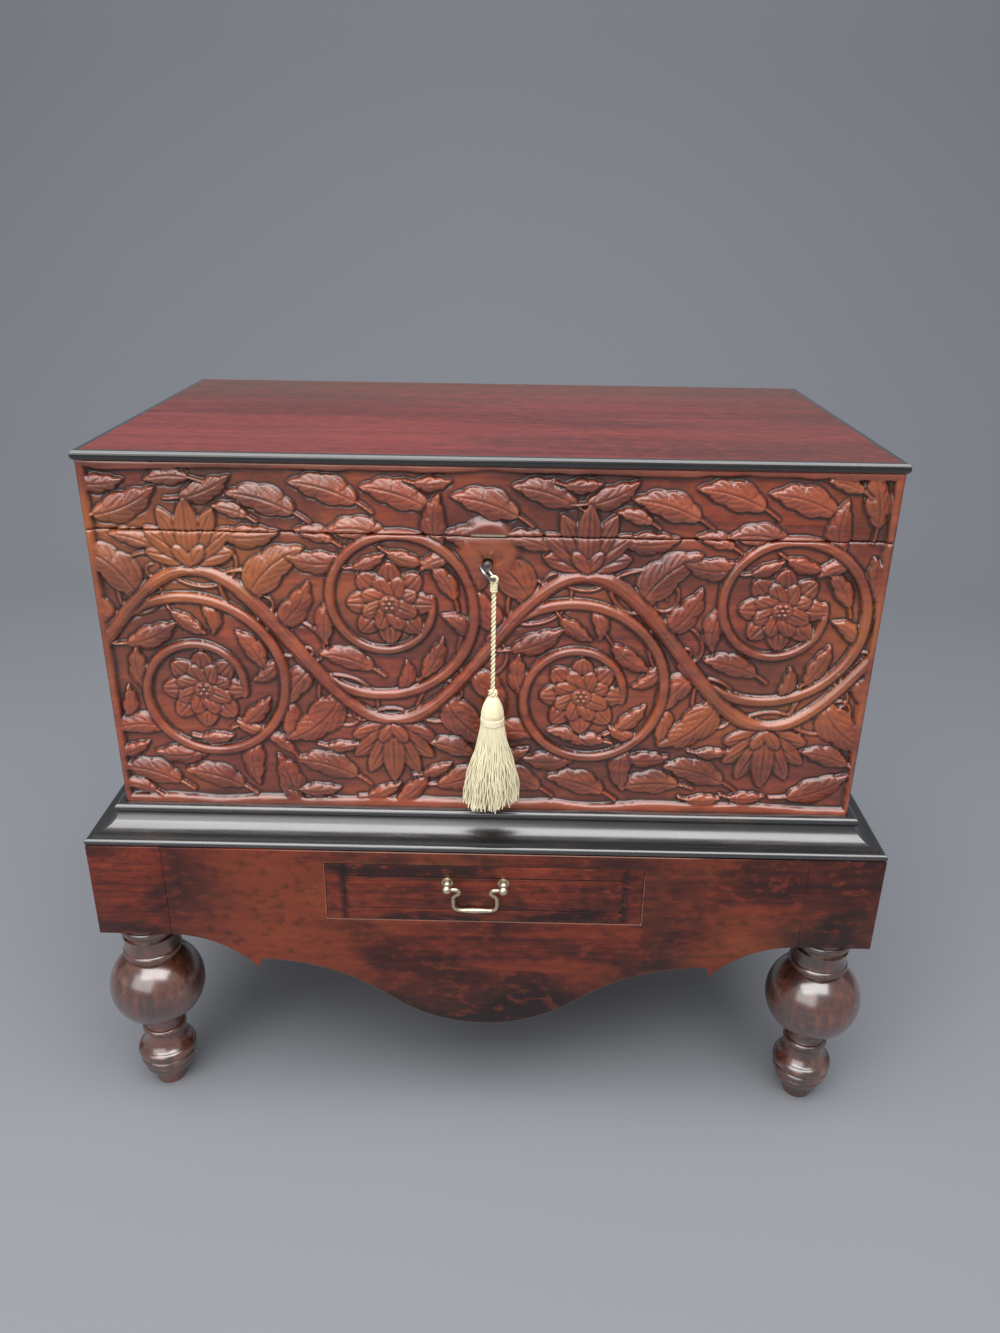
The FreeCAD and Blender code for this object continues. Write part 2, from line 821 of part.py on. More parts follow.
def build_hinges():
    """Two butt hinges, their pins and their screws."""
    pins = []
    box_screws = []
    lid_screws = []
    for name, centre in zip(hinge_names, hinge_centres):
        save("hinge_" + name + "_box_leaf", hinge_leaf(centre, box_top, -1, 0))
        save("hinge_" + name + "_lid_leaf", hinge_leaf(centre, lid_bottom, 1, 1))
        half = V(hinge_length / 2, 0, 0)
        middle = V(centre, hinge_axis_y, hinge_level)
        pins.append(rod(hinge_pin_radius, middle - half, middle + half))
        box_screws += [screw(p, V(0, 0, -1)) for p in hinge_screw_places(centre, box_top)]
        lid_screws += [screw(p, V(0, 0, 1)) for p in hinge_screw_places(centre, lid_bottom)]
    save("hinge_pins", Part.makeCompound(pins))
    save("hinge_screws_box", Part.makeCompound(box_screws))
    save("hinge_screws_lid", Part.makeCompound(lid_screws))


def lock_screw_places():
    """The two screws that hold the lock, low down in its cap."""
    level = box_top - lock_height + lock_screw_inset
    reach = lock_width / 2 - lock_screw_inset
    return [V(-reach, front_inner, level), V(reach, front_inner, level)]


def link_plate_solid(front, drop):
    """The flat of the link plate under the lid's front rail, from a front edge, thicker downwards by drop."""
    middle = staple_x + link_plate_offset
    return block((middle - link_plate_width / 2, middle + link_plate_width / 2),
                 (front, link_plate_back),
                 (lid_bottom - drop, lid_bottom + link_plate_thickness))


def staple_solid(margin, high):
    """The staple as a plain block, wider than it is by a margin, up to a level."""
    half_y = staple_inner / 2 + staple_leg + margin
    half_x = staple_thickness / 2 + margin
    return block((staple_x - half_x, staple_x + half_x), (lock_mid_y - half_y, lock_mid_y + half_y),
                 (staple_foot - margin, high))


def build_lock():
    """The lock case, its bolt, the link plate on the lid, the liner of the keyhole and the screws."""
    half = lock_width / 2
    low = box_top - lock_height
    case = block((-half, half), (lock_front, front_inner), (low, box_top))
    hollow = block((lock_sheet - half, half - lock_sheet), (lock_front - overrun, front_inner - lock_sheet),
                   (low + lock_sheet, box_top - selvedge_thickness))
    slot = staple_solid(staple_play, box_top + overrun)
    case = case.cut(hollow).cut(slot)
    feet = [rod(screw_head_radius + lock_sheet, V(p.x, lock_front, p.z), p) for p in lock_screw_places()]
    for foot in feet:
        case = case.fuse(foot)
    pin_foot = V(0, front_inner - lock_sheet, key_level)
    pin_tip = V(0, lock_front - key_collar_length, key_level)
    case = case.fuse(rod(drill_pin_radius, pin_foot, pin_tip))
    case = cut_all(case, [screw_hole(p, V(0, -1, 0)) for p in lock_screw_places()])
    save("lock_case", case.removeSplitter())
    save("lock_screws", Part.makeCompound([screw(p, V(0, -1, 0)) for p in lock_screw_places()]))
    ys = (lock_mid_y - bolt_thickness / 2, lock_mid_y + bolt_thickness / 2)
    plate = block((bolt_shoulder - bolt_plate_length, bolt_shoulder), ys, (bolt_bottom, bolt_top))
    nose = block((bolt_shoulder, bolt_tip), ys, (bolt_top - bolt_nose_height, bolt_top))
    talon_xs = (talon_middle - talon_half, talon_middle + talon_half)
    talon = block(talon_xs, (ys[0] - overrun, ys[1] + overrun),
                  (bolt_bottom - overrun, bolt_bottom + talon_bite + talon_play))
    save("lock_bolt", plate.fuse(nose).removeSplitter().cut(talon))
    staple = staple_solid(0, lid_bottom)
    eye = block((staple_x - staple_thickness, staple_x + staple_thickness),
                (lock_mid_y - staple_inner / 2, lock_mid_y + staple_inner / 2),
                (staple_foot + staple_leg, lid_bottom))
    plate_flat = link_plate_solid(link_plate_setback - half_depth, 0)
    save("lock_link_plate", plate_flat.fuse(staple.cut(eye)).removeSplitter())
    mouth = keyhole(keyhole_clearance, -half_depth - overrun, keyhole_liner_depth - half_depth + overrun)
    liner = keyhole(keyhole_clearance + keyhole_liner_wall, -half_depth, keyhole_liner_depth - half_depth)
    save("keyhole_liner", liner.cut(mouth).removeSplitter())


# Key and tassel places, with the bow turned half the working turn from upright
bow_y = -half_depth - key_bow_distance
bow_down = V(math.sin(key_half_turn), 0, -math.cos(key_half_turn))
bow_middle = V(0, bow_y, key_level)
cord_hook = bow_middle + bow_down * key_bow_radius
cord_end = cord_hook.z - cord_drop


def build_key():
    """A pipe key: barrel on the lock's pin, bit against the bolt, collar and ring bow."""
    barrel_end = V(0, front_inner - lock_sheet - running_clearance, key_level)
    barrel_start = V(0, bow_y + key_bow_radius, key_level)
    key = rod(key_barrel_radius, barrel_start, barrel_end)
    collar_y = -half_depth - key_collar_length
    key = key.fuse(rod(key_collar_radius, V(0, collar_y - key_collar_length, key_level),
                       V(0, collar_y, key_level)))
    bit = block((-key_bit_thickness / 2, key_bit_thickness / 2),
                (lock_mid_y - key_bit_length / 2, lock_mid_y + key_bit_length / 2),
                (key_level, key_level + key_bit_reach))
    bit.rotate(V(0, 0, key_level), V(0, 1, 0), -key_turn_angle / 2)
    key = key.fuse(bit)
    across = V(0, 1, 0).cross(bow_down)
    key = key.fuse(Part.makeTorus(key_bow_radius, key_bow_wire_radius, bow_middle, across))
    bore_end = V(0, lock_front - 2 * key_collar_length, key_level)
    key = key.cut(rod(drill_pin_radius + pivot_clearance, bore_end, barrel_end + V(0, overrun, 0)))
    save("key", key.removeSplitter())


def build_tassel():
    """Cord looped on the key's bow, knotted head and flared skirt."""
    loop_radius = key_bow_wire_radius + cord_ply_radius + cord_loop_clearance
    loop = Part.makeTorus(loop_radius, cord_ply_radius, cord_hook, V(0, 1, 0))
    cord_start = cord_hook - V(0, 0, loop_radius - cord_ply_radius / 2)
    cord = loop.fuse(rod(cord_radius, cord_start, V(cord_hook.x, bow_y, cord_end)))
    save("tassel_cord", cord.removeSplitter())
    straight_run = round(cord_start.z - cord_end, 2)
    print("cord: one straight run of", straight_run, "loop radius", round(loop_radius, 2))
    print("cord volume over section", round(cord.Volume / (math.pi * cord_radius ** 2), 1))
    head_foot = cord_end - knot_height - head_height - tie_height
    head = Turning(head_radius, head_foot)
    head.bead(tie_height, tie_bulge)
    crown = V(head_neck_radius, 0, head.level + head_height)
    shoulder_radius = head_neck_radius + (head_radius - head_neck_radius) * head_shoulder_share
    shoulder = V(shoulder_radius, 0, head.level + head_height * head_shoulder_share)
    head.edges.append(arc(head.point(), shoulder, crown))
    head.radius = head_neck_radius
    head.level += head_height
    head.bead(knot_height, knot_radius - head_neck_radius)
    knotted = head.solid()
    knotted.translate(V(cord_hook.x, bow_y, 0))
    save("tassel_head", knotted)
    centre = V(cord_hook.x, bow_y, head_foot)
    top = Part.Wire(Part.Ellipse(centre, head_radius, head_radius - glue_gap).toShape())
    waist_centre = centre - V(0, 0, skirt_shoulder_drop)
    waist = Part.Wire(Part.Ellipse(waist_centre, skirt_half_width * skirt_shoulder_share,
                                   skirt_half_depth * skirt_shoulder_share).toShape())
    hem_centre = centre - V(0, 0, skirt_length)
    hem = Part.Wire(Part.Ellipse(hem_centre, skirt_half_width, skirt_half_depth).toShape())
    save("tassel_skirt", Part.makeLoft([top, waist, hem], True))


def moulding_profile(place):
    """Section of the stand moulding: bead, quirk, cove, fillet and bead, by outward reach and height."""
    top = frieze_top + moulding_height
    bead_foot = top - 2 * top_bead_radius
    cove_top = bead_foot - quirk_height
    cove_start = moulding_clearance + top_bead_setback + quirk_width
    cove_end = cove_start + cove_width
    lower_bead = frieze_top + 2 * lower_bead_radius
    fillet_top = lower_bead + lower_fillet_height
    bead_line = stand_overhang - lower_bead_radius
    setback = moulding_clearance + top_bead_setback
    cove_middle = level_arc_middle((cove_end, fillet_top), (cove_start, cove_top))
    inner_foot = place(moulding_clearance, frieze_top)
    edges = polyline([inner_foot, place(moulding_clearance, top), place(setback, top)])
    bead_nose = place(setback + top_bead_radius, top - top_bead_radius)
    bead_end = place(setback, bead_foot)
    edges.append(arc(place(setback, top), bead_nose, bead_end))
    cove_lip = place(cove_start, cove_top)
    edges += polyline([bead_end, place(cove_start, bead_foot), cove_lip])
    edges.append(arc(cove_lip, place(*cove_middle), place(cove_end, fillet_top)))
    fillet_edge = cove_end + lower_fillet_width
    edges += polyline([place(cove_end, fillet_top), place(fillet_edge, fillet_top),
                       place(fillet_edge, lower_bead), place(bead_line, lower_bead)])
    edges.append(arc(place(bead_line, lower_bead), place(stand_overhang, frieze_top + lower_bead_radius),
                     place(bead_line, frieze_top)))
    edges.append(line(place(bead_line, frieze_top), inner_foot))
    return face_of(edges)


def build_moulding():
    """Four mitred lengths of moulding round the foot of the chest."""
    run_x = 2 * half_width + 4 * stand_overhang
    run_y = 2 * half_depth + 4 * stand_overhang
    limits = (0, stand_overhang + overrun, frieze_top, frieze_top + moulding_height)
    front = moulding_profile(front_place).extrude(V(run_x, 0, 0)).common(front_mitre(*limits))
    save("moulding_front", front)
    save("moulding_back", turned_back(front))
    right = moulding_profile(side_place).extrude(V(0, run_y, 0)).common(side_mitre(*limits, True))
    save("moulding_right", right)
    save("moulding_left", mirrored(right))


def apron_outline():
    """The front apron seen from the front: arch, cusp and step, then an ogee down to the belly."""
    def at(x, z):
        return V(x, apron_front_face, z)
    cusp = (post_inner_x - arch_run, foot_height - arch_drop)
    notch = (cusp[0] - cusp_step_run, cusp[1] + cusp_step_height)
    belly = (0, foot_height - belly_drop)
    turn = (notch[0] * belly_share, belly[1] + (notch[1] - belly[1]) * belly_share)
    spring = (post_inner_x, foot_height)
    arch_middle = level_arc_middle(spring, cusp)
    ogee_middle = level_arc_middle(notch, turn)
    left_end = [at(-spring[0], spring[1]), at(-spring[0], frieze_top)]
    right_end = [at(spring[0], frieze_top), at(*spring)]
    edges = polyline(left_end + right_end)
    edges += [arc(at(*spring), at(*arch_middle), at(*cusp)),
              line(at(*cusp), at(*notch)),
              arc(at(*notch), at(*ogee_middle), at(*turn)),
              arc(at(*turn), at(*belly), at(-turn[0], turn[1])),
              arc(at(-turn[0], turn[1]), at(-ogee_middle[0], ogee_middle[1]), at(-notch[0], notch[1])),
              line(at(-notch[0], notch[1]), at(-cusp[0], cusp[1])),
              arc(at(-cusp[0], cusp[1]), at(-arch_middle[0], arch_middle[1]), at(-spring[0], spring[1]))]
    return face_of(edges)


tenon_levels = (foot_height + tenon_shoulder, frieze_top - tenon_shoulder)


def rail_tenons():
    """The tenons of the front, right and back rails at the front-right and back-right posts."""
    half = tenon_thickness / 2
    front_y = apron_front_face + apron_thickness / 2
    back_y = stand_half_depth - frieze_thickness / 2
    side_x = stand_half_width - frieze_thickness / 2
    in_post = (post_inner_x, post_inner_x + tenon_length)
    in_side = (side_x - half, side_x + half)
    front = block(in_post, (front_y - half, front_y + half), tenon_levels)
    back = block(in_post, (back_y - half, back_y + half), tenon_levels)
    side_front = block(in_side, (-post_inner_y - tenon_length, -post_inner_y), tenon_levels)
    side_back = block(in_side, (post_inner_y, post_inner_y + tenon_length), tenon_levels)
    return front, back, side_front, side_back


def drawer_levels():
    """Bottom and top of the drawer front."""
    top = frieze_top - drawer_top_margin
    return top - drawer_front_height, top


def stand_top_solid():
    """The board that closes the stand and carries the chest."""
    side = stand_half_width - frieze_thickness
    return block((-side, side), (apron_inner, stand_half_depth - frieze_thickness),
                 (frieze_top - stand_top_thickness, frieze_top))


def build_stand():
    """Posts, apron, frieze boards and the board on top."""
    front_tenon, back_tenon, side_front_tenon, side_back_tenon = rail_tenons()
    low, high = drawer_levels()
    opening_half = drawer_front_width / 2 + drawer_gap
    opening = block((-opening_half, opening_half), (apron_front_face - overrun, apron_inner + overrun),
                    (low - drawer_gap, high + drawer_gap))
    apron = apron_outline().extrude(V(0, apron_thickness, 0)).cut(opening)
    save("apron_front", apron.fuse(front_tenon).fuse(mirrored(front_tenon)).removeSplitter())
    levels = (foot_height, frieze_top)
    back_ys = (stand_half_depth - frieze_thickness, stand_half_depth)
    back = block((-post_inner_x, post_inner_x), back_ys, levels)
    save("frieze_back", back.fuse(back_tenon).fuse(mirrored(back_tenon)).removeSplitter())
    side_xs = (stand_half_width - frieze_thickness, stand_half_width)
    side = block(side_xs, (-post_inner_y, post_inner_y), levels)
    side = side.fuse(side_front_tenon).fuse(side_back_tenon).removeSplitter()
    save("frieze_right", side)
    save("frieze_left", mirrored(side))
    board = stand_top_solid()
    save("stand_top", board)
    socket_radius = foot_tenon_radius + glue_gap
    for name, sign, mortises in (("front", -1, (front_tenon, side_front_tenon)),
                                 ("back", 1, (back_tenon, side_back_tenon))):
        ys = sorted((sign * post_inner_y, sign * stand_half_depth))
        post = block((post_inner_x, stand_half_width), ys, levels)
        axis = foot_axis(1, sign)
        socket = rod(socket_radius, axis + V(0, 0, foot_height - overrun),
                     axis + V(0, 0, foot_height + foot_tenon_length + glue_gap))
        post = cut_all(post, list(mortises) + [board, socket])
        save("post_" + name + "_right", post)
        save("post_" + name + "_left", mirrored(post))


def foot_axis(side, end):
    """The place on the floor under one foot: side is -1 left or 1 right, end is -1 front or 1 back."""
    inset = post_size / 2
    return V(side * (stand_half_width - inset), end * (stand_half_depth - inset), 0)


def foot_solid():
    """One turned foot on the axis: pad, two rings, bell, cove, neck ring, ball, collar and top ring."""
    foot = Turning(pad_floor_radius, 0)
    foot.straight(pad_top_radius, pad_height)
    foot.straight(lower_ring_radius, 0)
    foot.bead(ring_height, ring_bulge)
    foot.straight(upper_ring_radius, 0)
    foot.bead(ring_height, ring_bulge)
    foot.straight(bell_seat_radius, 0)
    foot.swell(bell_top_radius, bell_height, bell_radius, bell_nose_share)
    foot.swell(neck_ring_seat_radius, foot_cove_height, foot_cove_radius, foot_cove_share)
    foot.bead(neck_ring_height, neck_ring_bulge)
    foot.straight(neck_radius, 0)
    foot.bead(neck_height, -neck_draw)
    foot.ball(ball_radius, ball_rise, ball_crown, collar_seat_radius)
    foot.straight(collar_seat_radius, collar_groove_height)
    foot.bead(collar_bead_height, collar_bead_bulge)
    foot.straight(collar_cove_radius, 0)
    foot.bead(collar_cove_height, -collar_cove_draw)
    foot.straight(collar_seat_radius, 0)
    foot.straight(collar_seat_radius, collar_top_groove_height)
    foot.straight(top_ring_radius, 0)
    foot.bead(top_ring_height, top_ring_bulge)
    foot.straight(top_ring_radius, top_neck_height)
    tenon = rod(foot_tenon_radius, V(0, 0, foot_height), V(0, 0, foot_height + foot_tenon_length))
    return foot.solid().fuse(tenon)


def build_feet():
    """Four turned feet."""
    foot = foot_solid()
    for end_name, end in (("front", -1), ("back", 1)):
        for side_name, side in (("left", -1), ("right", 1)):
            placed = foot.copy()
            placed.translate(foot_axis(side, end))
            save("foot_" + end_name + "_" + side_name, placed)


drawer_half = drawer_front_width / 2
drawer_back_face = stand_half_depth - frieze_thickness - drawer_space_behind
drawer_back_inner = drawer_back_face - drawer_back_thickness
drawer_front_back = apron_front_face + drawer_front_thickness
drawer_side_inner = drawer_half - drawer_side_thickness
handle_level = (drawer_levels()[0] + drawer_levels()[1]) / 2 + handle_rise


def drawer_bottom_panel(front_reach):
    """The drawer bottom, in grooves in the front and the sides, out under the back."""
    low = drawer_levels()[0] + drawer_bottom_rise
    reach = drawer_side_inner + drawer_groove_depth
    return block((-reach, reach), (front_reach, drawer_back_face), (low, low + drawer_bottom_thickness))


def handle_posts_at():
    """The places of the two handle posts on the face of the drawer."""
    return [V(handle_offset + side * handle_pitch / 2, apron_front_face, handle_level) for side in (-1, 1)]


def dovetails(neck_y, tip_y, low, high):
    """The tails at one end of the right-hand drawer side, spread evenly, each wider at its tip."""
    pitch = (high - low) / dovetails_per_corner
    neck = pitch * dovetail_neck_share / 2
    tip = pitch * dovetail_tip_share / 2
    tails = []
    for i in range(dovetails_per_corner):
        middle = low + pitch / 2 + i * pitch
        corners = [V(drawer_side_inner, neck_y, middle - neck), V(drawer_side_inner, tip_y, middle - tip),
                   V(drawer_side_inner, tip_y, middle + tip), V(drawer_side_inner, neck_y, middle + neck)]
        outline = face_of(polyline(corners + corners[:1]))
        tails.append(outline.extrude(V(drawer_side_thickness, 0, 0)))
    return tails


def build_drawer():
    """Front with its incised line, sides dovetailed into the front and the back, and the bottom."""
    low, high = drawer_levels()
    front = block((-drawer_half, drawer_half), (apron_front_face, drawer_front_back), (low, high))
    inset = V(incised_margin_sides, 0, incised_margin_ends)
    depth = (apron_front_face - overrun, apron_front_face + incised_line_depth)
    outer = block((inset.x - drawer_half, drawer_half - inset.x), depth, (low + inset.z, high - inset.z))
    step = inset + V(incised_line_width, 0, incised_line_width)
    inner = block((step.x - drawer_half, drawer_half - step.x), depth, (low + step.z, high - step.z))
    side_top = high - drawer_side_drop
    panel_top = low + drawer_bottom_rise + drawer_bottom_thickness
    panel = drawer_bottom_panel(drawer_front_back - drawer_groove_depth)
    through = V(0, drawer_front_thickness + overrun, 0)
    bores = [rod(handle_shank_radius + glue_gap, p - V(0, overrun, 0), p + through)
             for p in handle_posts_at()]
    front_tails = dovetails(drawer_front_back, drawer_front_back - dovetail_lap, low, side_top)
    sockets = front_tails + [mirrored(tail) for tail in front_tails]
    save("drawer_front", cut_all(front, [outer.cut(inner), panel] + sockets + bores))
    back_tails = dovetails(drawer_back_inner, drawer_back_face, panel_top, side_top)
    back = block((-drawer_half, drawer_half), (drawer_back_inner, drawer_back_face), (panel_top, side_top))
    back = cut_all(back, back_tails + [mirrored(tail) for tail in back_tails])
    save("drawer_back", back)
    side = block((drawer_side_inner, drawer_half), (drawer_front_back, drawer_back_face), (low, side_top))
    for tail in front_tails:
        side = side.fuse(tail)
    side = side.cut(back).removeSplitter().cut(panel)
    save("drawer_right_side", side)
    save("drawer_left_side", mirrored(side))
    save("drawer_bottom", panel)


def build_runners():
    """Rebated runners from the apron to the back, each with its guide, and a stop behind each side."""
    low = drawer_levels()[0] - running_clearance
    back_end = stand_half_depth - frieze_thickness
    guide_inner = drawer_half + drawer_gap
    outer = guide_inner + guide_thickness
    base = block((outer - runner_width, outer), (apron_inner, back_end), (low - runner_height, low))
    guide = block((guide_inner, outer), (apron_inner, back_end), (low, low + guide_height))
    runner = base.fuse(guide).removeSplitter()
    save("runner_right", runner)
    save("runner_left", mirrored(runner))
    stop_front = drawer_back_face + running_clearance
    stop_ys = (stop_front, stop_front + stop_length)
    stop = block((outer - runner_width, guide_inner), stop_ys, (low, low + stop_height))
    save("drawer_stops", Part.makeCompound([stop, mirrored(stop)]))


handle_bead_length = 2 * math.sqrt(handle_bead_radius ** 2 - handle_neck_radius ** 2)
handle_ball_seat = math.sqrt(handle_ball_radius ** 2 - handle_neck_radius ** 2)
handle_reach = handle_disc_thickness + handle_bead_length + handle_neck_length + handle_ball_seat
bail_half_pin = handle_pitch / 2 - handle_ball_radius + bail_pin_depth
bail_half_end = handle_pitch / 2 - handle_ball_radius - bail_end_gap
bail_axis = V(handle_offset, apron_front_face - handle_reach, handle_level)
bail_lean = math.degrees(math.asin((handle_reach - grip_radius - running_clearance) / bail_drop))


def handle_post():
    """One post: disc, bead, neck and ball turned about its axis, with a shank through the drawer front."""
    post = Turning(handle_disc_radius, 0)
    post.straight(handle_disc_radius, handle_disc_thickness)
    post.straight(handle_neck_radius, 0)
    post.bead(handle_bead_length, handle_bead_radius - handle_neck_radius)
    post.straight(handle_neck_radius, handle_neck_length)
    solid = post.solid().fuse(Part.makeSphere(handle_ball_radius, V(0, 0, handle_reach)))
    tail = drawer_front_thickness + nut_thickness + handle_shank_tail
    solid = solid.fuse(rod(handle_shank_radius, V(0, 0, 0), V(0, 0, -tail)))
    solid.rotate(V(0, 0, 0), V(1, 0, 0), 90)
    return solid


def build_handle():
    """Two posts bored for the bail, their nuts, and the swan-neck bail."""
    posts = []
    nuts = []
    inside = apron_front_face + drawer_front_thickness
    bore_reach = V(bail_half_pin + running_clearance, 0, 0)
    pin_bore = rod(bail_pin_radius + pivot_clearance, bail_axis - bore_reach, bail_axis + bore_reach)
    for place in handle_posts_at():
        post = handle_post()
        post.translate(place)
        posts.append(post.cut(pin_bore))
        nut = block((place.x - nut_width / 2, place.x + nut_width / 2), (inside, inside + nut_thickness),
                    (place.z - nut_width / 2, place.z + nut_width / 2))
        bore = rod(handle_shank_radius + glue_gap, V(place.x, inside - overrun, place.z),
                   V(place.x, inside + nut_thickness + overrun, place.z))
        nuts.append(nut.cut(bore))
    save("handle_posts", Part.makeCompound(posts))
    save("handle_nuts", Part.makeCompound(nuts))
    save("handle_bail", bail_solid())


def bail_arm():
    """Right arm of the bail, hanging straight from its axis: end, swan neck, shoulder, side, corner."""
    turn = math.radians(swan_turn_angle)
    half = bail_width / 2
    neck_x = bail_half_end - bail_end_run
    neck_mid = V(neck_x, 0, -swan_neck_radius)

    def round_neck(angle):
        return neck_mid + V(math.cos(angle), 0, math.sin(angle)) * swan_neck_radius
    neck_start = round_neck(math.pi / 2)
    neck_end = round_neck(math.pi + turn)
    shoulder_x = half - swan_shoulder_radius * (1 - math.cos(turn))
    fall = (shoulder_x - neck_end.x) * math.tan(math.pi / 2 - turn)
    shoulder_start = V(shoulder_x, 0, neck_end.z - fall)
    shoulder_mid = shoulder_start - V(math.cos(turn), 0, math.sin(turn)) * swan_shoulder_radius

    def round_shoulder(angle):
        return shoulder_mid + V(math.cos(angle), 0, math.sin(angle)) * swan_shoulder_radius
    shoulder_end = round_shoulder(0)
    corner_start = V(half, 0, bail_corner_radius - bail_drop)
    corner_mid = V(half - bail_corner_radius, 0, bail_corner_radius - bail_drop)
    corner_end = corner_mid - V(0, 0, bail_corner_radius)
    corner_turn = corner_mid + V(math.cos(math.pi / 4), 0, -math.sin(math.pi / 4)) * bail_corner_radius
    start = V(bail_half_end, 0, 0)
    path = Part.Wire([
        line(start, neck_start),
        arc(neck_start, round_neck(math.pi / 2 + (math.pi / 2 + turn) / 2), neck_end),
        line(neck_end, shoulder_start),
        arc(shoulder_start, round_shoulder(turn / 2), shoulder_end),
        line(shoulder_end, corner_start),
        arc(corner_start, corner_turn, corner_end)])
    section = Part.Wire(Part.Circle(start, V(1, 0, 0), bail_radius).toShape())
    arm = path.makePipeShell([section], True, False)
    return arm.fuse(rod(bail_pin_radius, start, V(bail_half_pin, 0, 0))), corner_end


def bail_solid():
    """The bail: two arms and a grip that swells in the middle, leaning on the drawer front."""
    arm, corner = bail_arm()
    grip = Turning(bail_radius, -corner.x)
    grip.bead(2 * corner.x, grip_radius - bail_radius)
    handle = grip.solid()
    handle.rotate(V(0, 0, 0), V(0, 1, 0), 90)
    handle.translate(V(0, 0, corner.z))
    bail = handle.fuse(arm).fuse(mirrored(arm)).removeSplitter()
    bail.rotate(V(0, 0, 0), V(1, 0, 0), bail_lean)
    bail.translate(bail_axis)
    return bail


def main():
    """Builds every piece and prints the places that joints turn about."""
    waste = carving_waste()
    build_box(waste)
    build_lid(waste)
    build_hinges()
    build_lock()
    build_key()
    build_tassel()
    build_moulding()
    build_stand()
    build_feet()
    build_drawer()
    build_runners()
    build_handle()
    levels = (("foot", foot_height), ("frieze", frieze_top), ("lid top", lid_top_level))
    print("levels:", ", ".join(name + " " + str(round(level, 2)) for name, level in levels))
    print("lid hinge axis y", round(hinge_axis_y, 3), "z", round(hinge_level, 3))
    print("bail axis", [round(c, 3) for c in bail_axis], "lean", round(bail_lean, 2))
    print("key level", round(key_level, 3), "bow", [round(c, 3) for c in bow_middle])
    print("cord hook", [round(c, 3) for c in cord_hook], "cord end", round(cord_end, 3))
    print("bolt travel", round(bolt_travel, 4))


main()
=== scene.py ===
import logging
import math
from dataclasses import dataclass, field, replace
from enum import Enum

import bmesh
import bpy
import numpy as np
from mathutils import Matrix, Vector


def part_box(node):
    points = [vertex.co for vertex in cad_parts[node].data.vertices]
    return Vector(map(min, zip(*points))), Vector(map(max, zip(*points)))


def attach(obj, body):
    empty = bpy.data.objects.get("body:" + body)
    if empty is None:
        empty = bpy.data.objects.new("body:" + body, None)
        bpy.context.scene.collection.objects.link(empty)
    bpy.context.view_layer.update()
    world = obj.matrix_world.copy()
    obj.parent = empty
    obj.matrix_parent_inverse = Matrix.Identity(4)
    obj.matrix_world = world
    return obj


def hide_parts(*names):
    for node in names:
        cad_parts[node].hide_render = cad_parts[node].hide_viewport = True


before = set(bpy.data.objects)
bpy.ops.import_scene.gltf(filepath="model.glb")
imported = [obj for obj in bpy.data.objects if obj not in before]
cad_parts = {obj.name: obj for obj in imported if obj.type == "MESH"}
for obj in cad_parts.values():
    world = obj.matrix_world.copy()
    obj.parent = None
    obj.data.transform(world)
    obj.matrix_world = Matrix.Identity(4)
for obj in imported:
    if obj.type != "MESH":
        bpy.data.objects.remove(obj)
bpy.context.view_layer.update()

# Looks of a carved chest on its stand. Metres, +Z up, front towards -Y, on the frame of the solids.
# The carving is drawn in millimetres on the face of the chest, and turned to metres as it becomes a mesh.

log = logging.getLogger("chest")
MM = 0.001
TURN = 2 * math.pi
SEED = 11

Pair = tuple[float, float]
Triple = tuple[float, float, float]
Colour = Triple
Node = bpy.types.Node
Socket = bpy.types.NodeSocket
Object = bpy.types.Object
Material = bpy.types.Material
Array = np.ndarray


class Grain(Enum):
    """The way the fibres of a board run."""

    ALONG_X = 0
    ALONG_Y = 1
    ALONG_Z = 2

    def scales(self, along: float, across: float) -> Triple:
        """Pattern scales on the three axes, one along the fibres and two across them."""
        return tuple(along if axis == self.value else across for axis in range(3))


class Figure(Enum):
    """The patterns of wood: patches per metre along and across the fibres, octaves, swirl and lean."""

    BANDS = (0.9, 26.0, 5.0, 0.5, 0.0)
    STREAKS = (3.5, 120.0, 4.0, 0.0, 0.0)
    FIBRES = (16.0, 800.0, 2.0, 0.0, 0.0)
    GLOW = (3.0, 7.0, 3.0, 0.0, 0.4)
    PORES = (50.0, 2100.0, 1.0, 0.0, 0.0)
    FLECKS = (70.0, 130.0, 6.0, 0.0, 0.0)


class Step(Enum):
    """Where the value of a pattern starts and ends a change of colour."""

    BODY = (0.38, 0.51)
    PALE = (0.49, 0.63)
    WARM = (0.46, 0.66)
    STAIN = (0.45, 0.64)
    PORE = (0.60, 0.70)
    SPECK = (0.50, 0.72)
    GLINT = (0.48, 0.30)
    WORN = (0.28, 0.5)
    CREST = (0.3, 0.65)
    RUBBED = (0.56, 0.74)
    SCUFF = (0.54, 0.74)
    FILM = (0.42, 0.70)


class Body(Enum):
    """The moving bodies of the frame."""

    CHEST = "stand_and_chest"
    LID = "lid"
    DRAWER = "drawer"
    TASSEL = "tassel"


